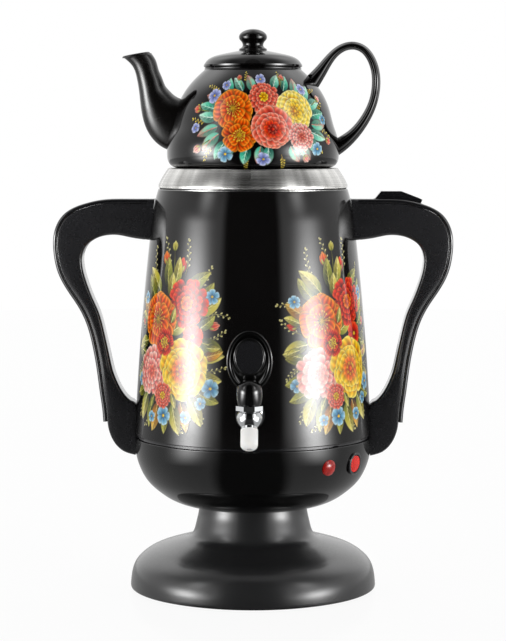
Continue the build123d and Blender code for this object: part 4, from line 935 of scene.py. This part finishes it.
def printed(name, canvas, follow, body, slot, ground, depth=1.3):
    # lays the painted net on a surface; follow turns the net's u, v into points, ground is the bare enamel's
    # tone and depth deepens the inks
    cover = canvas["cover"]
    # a cell is kept where one of its corners is painted, and a corner where one of its cells is kept
    low, high = slice(0, -1), slice(1, None)
    corners = ((low, low), (low, high), (high, high), (high, low))
    cells = np.max([cover[c] for c in corners], axis=0) > 0.03
    used = np.zeros_like(cover, bool)
    for c in corners:
        used[c] |= cells
    index = np.full(cover.shape, -1)
    index[used] = np.arange(int(used.sum()))
    points = follow(canvas["u"][used], canvas["v"][used]) * mm
    faces = np.stack([index[c] for c in corners], axis=-1)[cells]
    mesh = bpy.data.meshes.new(name)
    mesh.from_pydata(points.tolist(), [], faces.tolist())
    k = cover[used][:, None]
    ink = linear(np.clip(canvas["colour"][used], 0, 1)**depth) + (1 - k) * linear(srgb(ground))
    layer = mesh.color_attributes.new("paint", "FLOAT_COLOR", "POINT")
    layer.data.foreach_set("color", np.concatenate([ink, np.ones_like(k)], axis=1).astype(np.float32).ravel())
    mesh.shade_smooth()
    obj = bpy.data.objects.new(name, mesh)
    bpy.context.scene.collection.objects.link(obj)
    dress(obj, printedEnamel, body, slot)
    print(name, len(faces) * 2, "triangles")


# enamel inks fired over the black: opaque colour, a little softer in gloss than the ground
printedEnamel, tree, shader = newMaterial("firedEnamelPrint", {"IOR": 1.53})
addGrain(tree, shader, 1.6, (0.10, 0.14), 0.05, 0.03)
paintLayer = addNode(tree, "ShaderNodeAttribute", attribute_name="paint")
setInputs(tree, shader, {"Base Color": paintLayer.outputs["Color"]})


def printShell(values):
    canvas = paintBunch(values)
    for name, turn in values["turns"]:
        def follow(u, v):
            z = values["middle"] + v
            r = shellRadius(z) + values["lift"]
            around = math.radians(turn) + u / r
            return np.stack([r * np.sin(around), -r * np.cos(around), z], axis=-1)
        printed(name, canvas, follow, "heater", "shell_enamel", values["ground"])


def printPot(values):
    line = np.array(potLine(400))
    along = np.concatenate([[0], np.cumsum(np.linalg.norm(np.diff(line, axis=0), axis=1))])
    heading = np.gradient(line, along, axis=0)

    def follow(u, v):
        s = values["middle"] + v
        r = np.interp(s, along, line[:, 0]) + values["lift"] * np.interp(s, along, heading[:, 1])
        z = np.interp(s, along, line[:, 1]) - values["lift"] * np.interp(s, along, heading[:, 0])
        around = math.radians(values["turn"]) + u / values["radius"]
        return np.stack([r * np.sin(around), -r * np.cos(around), z], axis=-1)
    printed("flowersPot", paintBunch(values), follow, "teapot", "black_ceramic", values["ground"])


printShell(shellBunch)
printPot(potBunch)
print("flowers printed")

# a handle in side view, from the shell down to the bowl: (outer x, z, inner x, z); the strip covers its outer
# edge from startX to endZ; a form is the rounding at the inner and the outer edge and the crown of the sides,
# and the well for the thumb lever is (from x, to x, width, floor)
handle = {"width": 26.0, "strip": 3.3, "startX": 80.0, "endZ": 138.0, "gap": 0.12, "count": 150,
          "well": (98.7, 139.1, 14.6, 309.2), "coreForm": (3.0, 1.0, 0.7), "stripForm": (0.7, 2.3, 0.0),
          "stripInset": 0.3,
          "stations": [
    (85.8, 321.7, 88.0, 288.4), (98.0, 321.7, 99.0, 290.0), (112.0, 321.7, 110.5, 292.2),
    (124.0, 320.9, 119.5, 291.9), (135.6, 318.4, 126.8, 289.9), (146.3, 314.6, 133.3, 286.1),
    (154.6, 309.0, 137.2, 281.6), (160.3, 300.7, 139.1, 276.6), (163.1, 290.5, 139.7, 271.5),
    (163.0, 278.0, 139.0, 264.8), (159.5, 261.3, 136.6, 255.5), (151.6, 246.2, 131.4, 241.2),
    (142.3, 232.0, 125.6, 227.5), (135.7, 217.3, 121.4, 211.2), (131.6, 201.5, 118.4, 197.2),
    (128.2, 182.0, 115.7, 184.4), (125.6, 162.0, 112.3, 174.0), (123.6, 147.0, 106.8, 163.2),
    (122.4, 134.5, 101.3, 157.0), (118.3, 122.4, 97.8, 154.9), (114.2, 116.5, 95.6, 151.0),
    (107.6, 111.2, 94.8, 143.0),
    (97.2, 107.9, 94.8, 130.0)]}


def strapRing(near, far, half, form, side):
    # rounded section with slightly crowned faces, between two points of the side view
    nearRound, farRound, crown = form
    reach = math.hypot(far[0] - near[0], far[1] - near[1])
    flat = half - crown
    line = [(0.0, (flat - nearRound) * 0.5)]
    for k in range(6):
        a = math.radians(18 * k)
        line.append((nearRound * (1 - math.cos(a)), flat - nearRound * (1 - math.sin(a))))
    for k in range(1, 6):
        u = k / 6
        line.append((nearRound + u * (reach - nearRound - farRound), flat + 4 * crown * u * (1 - u)))
    for k in range(6):
        a = math.radians(18 * k)
        line.append((reach - farRound * (1 - math.sin(a)), flat - farRound * (1 - math.cos(a))))
    line.append((reach, (flat - farRound) * 0.5))
    line += [(s, -y) for s, y in line[::-1]]
    run, rise = (far[0] - near[0]) / reach, (far[1] - near[1]) / reach
    return [(side * (near[0] + run * s), y, near[1] + rise * s) for s, y in line]


def slotted(piece, values):
    # opens the well that the thumb lever sinks into, from its floor up through the strip
    low, high, width, floor = values
    cutAway(piece, ((high - low, width, 40), ((low + high) / 2, 0, floor + 20)))
    piece.data.set_sharp_from_angle(angle=math.radians(40))
    return piece


def makeHandle(values, name, side):
    line = smoothThrough(values["stations"], values["count"])
    half = values["width"] / 2
    core, strip = [], []
    for i, (x, z, nearX, nearZ) in enumerate(line):
        before, after = line[max(i - 1, 0)], line[min(i + 1, len(line) - 1)]
        along = Vector((after[0] - before[0], after[1] - before[1])).normalized()
        edge, joint = ((x + along.y * deep, z - along.x * deep)
                       for deep in (values["strip"], values["strip"] + values["gap"]))
        core.append(strapRing((nearX, nearZ), joint, half, values["coreForm"], side))
        if x > values["startX"] and z > values["endZ"]:
            strip.append(strapRing(edge, (x, z), half - values["stripInset"], values["stripForm"], side))
    pieces = [lofted("handleCore_" + name, core, 50), lofted("handleStrip_" + name, strip, 50)]
    if side > 0:
        pieces = [slotted(piece, values["well"]) for piece in pieces]
    dress(pieces[0], handleNylon, "heater", "handle_plastic", "handle_" + name)
    dress(pieces[1], stripNylon, "heater", "handle_plastic", "handle_strip_" + name)
    dress(tidyCopy("handleSocket_" + name, "handle_socket_" + name), handleNylon, "heater", "handle_plastic",
          "handle_socket_" + name)


makeHandle(handle, "left", -1)
makeHandle(handle, "right", 1)
dress(tidyCopy("thumbLever", "thumb_lever"), stripNylon, "thumb_lever", "handle_plastic", "thumb_lever")

# the tap
for piece, node, material, body, slot in (
        ("tapBody", "tap_body", chromePlate, "heater", "chrome_plate"),
        ("tapBonnet", "tap_bonnet", chromePlate, "heater", "chrome_plate"),
        ("nozzleRing", "nozzle_ring", chromePlate, "heater", "chrome_plate"),
        ("tapNozzle", "tap_nozzle", whiteSilicone, "heater", "white_silicone"),
        ("tapKey", "tap_key", glossAbs, "tap_key", "key_plastic"),
        ("tapBadge", "tap_badge", stripNylon, "tap_key", "key_plastic"),
        ("tapGasket", "tap_gasket", blackRubber, "heater", "black_rubber"),
        ("lampLens", "lamp_lens", redLens, "heater", "red_lens"),
        ("switchBezel", "switch_body", stripNylon, "heater", "moulded_black"),
        ("switchRocker", "switch_rocker", redRocker, "power_switch", "red_lens"),
        ("powerInlet", "power_inlet", stripNylon, "heater", "moulded_black")):
    dress(tidyCopy(piece, node), material, body, slot, node)

# the key's paddle: a dish between its rim and the raised oval, each as (height of its middle, half axes), and
# a rounded bead on both, as (oval, depth of its middle, half thickness sideways and in depth)
paddle = {"steps": 96, "outer": (199.9, (15.0, 20.6)), "inner": (202.9, (12.2, 14.8)), "front": -118.9,
          "depth": 1.7, "back": -116.9,
          "beads": [((199.9, (16.2, 21.8)), -118.7, (1.6, 0.9)),
                    ((202.9, (11.35, 13.95)), -118.9, (1.05, 1.05))]}


def ovalRing(middle, half, y, grow=0.0):
    ring = []
    for k in range(paddle["steps"]):
        a = 2 * math.pi * k / paddle["steps"]
        out = Vector((math.cos(a) / half[0], math.sin(a) / half[1])).normalized()
        ring.append((half[0] * math.cos(a) + grow * out.x, y, middle + half[1] * math.sin(a) + grow * out.y))
    return ring


def makePaddle(values):
    (middle, half), (innerMiddle, innerHalf) = values["outer"], values["inner"]
    rings = []
    for k in range(11):
        share = k / 10
        rings.append(ovalRing(middle + share * (innerMiddle - middle),
                              [a + share * (b - a) for a, b in zip(half, innerHalf)],
                              values["front"] + values["depth"] * math.sin(math.pi * share)))
    rings += [ovalRing(innerMiddle, innerHalf, values["back"]), ovalRing(middle, half, values["back"])]
    dress(lofted("paddleDish", rings + rings[:1], 60, False, False), glossAbs, "tap_key", "key_plastic")
    for name, ((middle, half), y, thick) in zip(("paddleRim", "paddleBead"), values["beads"]):
        rings = [ovalRing(middle, half, y - thick[1] * math.sin(a), thick[0] * math.cos(a))
                 for a in (math.pi * k / 8 for k in range(17))]
        dress(lofted(name, rings, 60, False, False), glossAbs, "tap_key", "key_plastic")


makePaddle(paddle)

# four screws in the base cover, seen from below
coverScrews = {"count": 4, "circle": 78.0, "start": 45.0, "seed": 3, "cross": (4.2, 0.9, 1.3),
               "outline": [(0, 0.8), (1.6, 0.85), (2.6, 1.2), (3.1, 1.9), (3.2, 3.0), (1.6, 3.0), (1.6, 16.0),
                           (0.9, 17.0), (0, 17.0)]}


def screwWithCross(values):
    length, width, depth = values["cross"]
    return cutAway(spun("coverScrew", values["outline"], 48, 40), ((length, width, 2 * depth), (0, 0, 0.8)),
                   ((width, length, 2 * depth), (0, 0, 0.8)))


def ringOfCopies(name, template, material, values):
    # Geometry Nodes set copies of a piece on a circle round the axis, each turned to a chance angle
    group = bpy.data.node_groups.new(name, "GeometryNodeTree")
    sockets = [(group.interface.new_socket(label, in_out="INPUT", socket_type=kind), value)
               for label, kind, value in (("Count", "NodeSocketInt", values["count"]),
                                          ("Circle", "NodeSocketFloat", values["circle"] * mm),
                                          ("Start", "NodeSocketFloat", math.radians(values["start"])),
                                          ("Seed", "NodeSocketInt", values["seed"]))]
    group.interface.new_socket("Geometry", in_out="OUTPUT", socket_type="NodeSocketGeometry")
    given = addNode(group, "NodeGroupInput")
    circle = addNode(group, "GeometryNodeMeshCircle", {"Vertices": given.outputs["Count"],
                                                       "Radius": given.outputs["Circle"]})
    start = addNode(group, "ShaderNodeCombineXYZ", {"Z": given.outputs["Start"]})
    turned = addNode(group, "GeometryNodeTransform", {"Geometry": circle, "Rotation": start})
    chance = addNode(group, "FunctionNodeRandomValue", {2: 0.0, 3: 2 * math.pi,
                                                        "Seed": given.outputs["Seed"]}, data_type="FLOAT")
    heading = addNode(group, "ShaderNodeCombineXYZ", {"Z": chance.outputs[1]})
    source = addNode(group, "GeometryNodeObjectInfo", {"Object": template})
    copies = addNode(group, "GeometryNodeInstanceOnPoints", {
        "Points": turned, "Instance": source.outputs["Geometry"], "Rotation": heading})
    real = addNode(group, "GeometryNodeRealizeInstances", {"Geometry": copies})
    done = addNode(group, "GeometryNodeSetMaterial", {"Geometry": real, "Material": material})
    addNode(group, "NodeGroupOutput", {"Geometry": done})
    piece = bpy.data.objects.new(name, bpy.data.meshes.new(name))
    bpy.context.scene.collection.objects.link(piece)
    maker = piece.modifiers.new(name, "NODES")
    maker.node_group = group
    for socket, value in sockets:
        maker[socket.identifier] = value
    baked(piece)
    bpy.data.objects.remove(template)
    return piece


dress(ringOfCopies("coverScrews", screwWithCross(coverScrews), zincPlate, coverScrews), zincPlate, "heater",
      "zinc_steel", "base_cover_screws")
print("handles, tap and controls made")

# nodes that keep their CAD mesh
kept = {"foot_ring": blackRubber, "base_cover": satinAbs, "tie_rod": zincPlate, "tie_rod_nuts": zincPlate,
        "heat_shield": zincPlate, "inner_tank": turnedSteel, "heater_plate": castAluminium,
        "heater_ring": castAluminium, "thermostat": stripNylon, "tank_studs": zincPlate,
        "stud_sleeves": zincPlate, "stud_nuts": zincPlate, "handle_screws": zincPlate, "lever_pin": zincPlate,
        "tap_spacer": stripNylon, "tank_gasket": blackRubber, "tap_nut": turnedBrass, "lamp_body": stripNylon,
        "inlet_pins": turnedBrass, "inlet_tabs": turnedBrass, "valve_plug": turnedSteel}
for node, material in kept.items():
    nodes[node].data.materials.clear()
    nodes[node].data.materials.append(material)

# floor and light


def fromFront(tree, vector):
    # a vector's split into components, and its turn away from the front in radians
    split = addNode(tree, "ShaderNodeSeparateXYZ", {"Vector": vector})
    behind = addNode(tree, "ShaderNodeMath", {0: split.outputs["Y"], 1: -1.0}, operation="MULTIPLY")
    around = addNode(tree, "ShaderNodeMath", {0: split.outputs["X"], 1: behind}, operation="ARCTAN2")
    return split, addNode(tree, "ShaderNodeMath", {0: around}, operation="ABSOLUTE")


# this to the power of a squared distance gives the bell curve in which a soft box fades
bell = 0.6065

# white is the share of plain white that shows over the shaded floor; in reflections the floor is dark in
# front, like the room, and bright below the soft boxes: turn, spread, distances in metres from none to full,
# strength
floorValues = {"size": 3.0, "drop": 0.2, "colour": "#f4f4f3", "white": 0.93, "mirrored": (0.03, 0.45),
               "wedge": (24.0, 40.0), "lampFoot": (62.0, 10.0, 0.36, 1.7, 11.0)}


def makeFloor(values):
    bm = bmesh.new()
    bmesh.ops.create_circle(bm, cap_ends=True, segments=96, radius=values["size"])
    floor = finishedMesh("studioFloor", bm)
    floor.data.transform(Matrix.Translation((0, 0, -values["drop"] * mm)))
    material, tree, shader = newMaterial("palePolishedTable", {"Base Color": fromHex(values["colour"]),
                                                               "Roughness": 0.12, "IOR": 1.35})
    path = addNode(tree, "ShaderNodeLightPath")
    where = addNode(tree, "ShaderNodeTexCoord")
    aside = fromFront(tree, where.outputs["Object"])[1]
    start, end = (math.radians(turn) for turn in values["wedge"])
    mirrored = addNode(tree, "ShaderNodeMapRange", {
        "Value": aside, "From Min": start, "From Max": end, "To Min": values["mirrored"][0],
        "To Max": values["mirrored"][1]}, interpolation_type="SMOOTHSTEP")
    turnAt, spread, near, full, strength = values["lampFoot"]
    off = addNode(tree, "ShaderNodeMath", {0: aside, 1: math.radians(turnAt)}, operation="SUBTRACT")
    share = addNode(tree, "ShaderNodeMath", {0: off, 1: math.radians(spread)}, operation="DIVIDE")
    square = addNode(tree, "ShaderNodeMath", {0: share, 1: 2.0}, operation="POWER")
    fade = addNode(tree, "ShaderNodeMath", {0: bell, 1: square}, operation="POWER")
    reach = addNode(tree, "ShaderNodeVectorMath", {0: where.outputs["Object"]}, operation="LENGTH")
    grow = addNode(tree, "ShaderNodeMapRange", {"Value": reach.outputs["Value"], "From Min": near,
                                                "From Max": full, "To Min": 0.0, "To Max": strength})
    lamps = addNode(tree, "ShaderNodeMath", {0: fade, 1: grow, 2: mirrored}, operation="MULTIPLY_ADD")
    # the camera sees plain white over the shaded floor, and reflections see only the light computed here
    level = addNode(tree, "ShaderNodeMix", {"Factor": path.outputs["Is Camera Ray"], "A": lamps, "B": 1.0},
                    data_type="FLOAT")
    white = addNode(tree, "ShaderNodeEmission", {"Color": (1, 1, 1, 1), "Strength": level})
    direct = addNode(tree, "ShaderNodeMath", {0: path.outputs["Is Camera Ray"], 1: values["white"]},
                     operation="MULTIPLY")
    seen = addNode(tree, "ShaderNodeMath", {0: path.outputs["Is Glossy Ray"], 1: direct}, operation="MAXIMUM")
    mix = addNode(tree, "ShaderNodeMixShader", {0: seen, 1: shader, 2: white})
    setInputs(tree, next(n for n in tree.nodes if n.type == "OUTPUT_MATERIAL"), {"Surface": mix})
    floor.data.materials.append(material)


makeFloor(floorValues)

# the room is dark in front, between the two edges of the wedge, and brighter from the turns of rear on; dim
# gives the elevations between which it fades and the share that is left, and over those between which the
# light overhead grows, and its strength; soft boxes stand on both sides, each as (turn from the front,
# height, spread sideways, spread upwards, strength), in degrees
lightValues = {"front": 0.01, "room": 0.72, "back": 0.95, "wedge": (27.0, 37.0), "rear": (112.0, 150.0),
               "dim": (18.0, 42.0, 0.3), "over": (58.0, 75.0, 0.2),
               "boxes": [(63.5, 0.6, 10.0, 4.6, 22.0), (57.0, 30.0, 6.0, 10.0, 3.0),
                         (138.0, 48.0, 24.0, 14.0, 1.6)]}


def makeWorld(values):
    world = bpy.data.worlds.new("softStudio")
    bpy.context.scene.world = world
    world.use_nodes = True
    tree = world.node_tree
    tree.nodes.clear()
    where = addNode(tree, "ShaderNodeTexCoord")
    split, aside = fromFront(tree, where.outputs["Generated"])
    turn = addNode(tree, "ShaderNodeMath", {0: aside}, operation="DEGREES")
    rise = addNode(tree, "ShaderNodeMath", {0: split.outputs["Z"]}, operation="ARCSINE")
    height = addNode(tree, "ShaderNodeMath", {0: rise}, operation="DEGREES")
    sides, rear, dim, over = (
        addNode(tree, "ShaderNodeMapRange", {"Value": value, "From Min": start, "From Max": end,
                                             "To Min": low, "To Max": high}, interpolation_type="SMOOTHSTEP")
        for value, (start, end), low, high in (
            (turn, values["wedge"], values["front"], values["room"]),
            (turn, values["rear"], 0.0, values["back"] - values["room"]),
            (height, values["dim"][:2], 1.0, values["dim"][2]),
            (height, values["over"][:2], 0.0, values["over"][2])))
    total = addNode(tree, "ShaderNodeMath", {0: sides, 1: rear}, operation="ADD")
    total = addNode(tree, "ShaderNodeMath", {0: total, 1: dim, 2: over}, operation="MULTIPLY_ADD")
    place = addNode(tree, "ShaderNodeCombineXYZ", {"X": turn, "Y": height})
    for turnAt, heightAt, wide, tall, strength in values["boxes"]:
        off = addNode(tree, "ShaderNodeVectorMath", {0: place, 1: (turnAt, heightAt, 0)},
                      operation="SUBTRACT")
        share = addNode(tree, "ShaderNodeVectorMath", {0: off, 1: (1 / wide, 1 / tall, 0)},
                        operation="MULTIPLY")
        far = addNode(tree, "ShaderNodeVectorMath", {0: share, 1: share}, operation="DOT_PRODUCT")
        fade = addNode(tree, "ShaderNodeMath", {0: bell, 1: far.outputs["Value"]}, operation="POWER")
        total = addNode(tree, "ShaderNodeMath", {0: fade, 1: strength, 2: total}, operation="MULTIPLY_ADD")
    # the camera sees plain white behind the object
    path = addNode(tree, "ShaderNodeLightPath")
    level = addNode(tree, "ShaderNodeMix", {"Factor": path.outputs["Is Camera Ray"], "A": total, "B": 1.0},
                    data_type="FLOAT")
    light = addNode(tree, "ShaderNodeBackground", {"Color": (1, 1, 1, 1), "Strength": level})
    addNode(tree, "ShaderNodeOutputWorld", {"Surface": light})


makeWorld(lightValues)
bpy.context.scene.view_settings.view_transform = "Standard"
print("floor and light made")
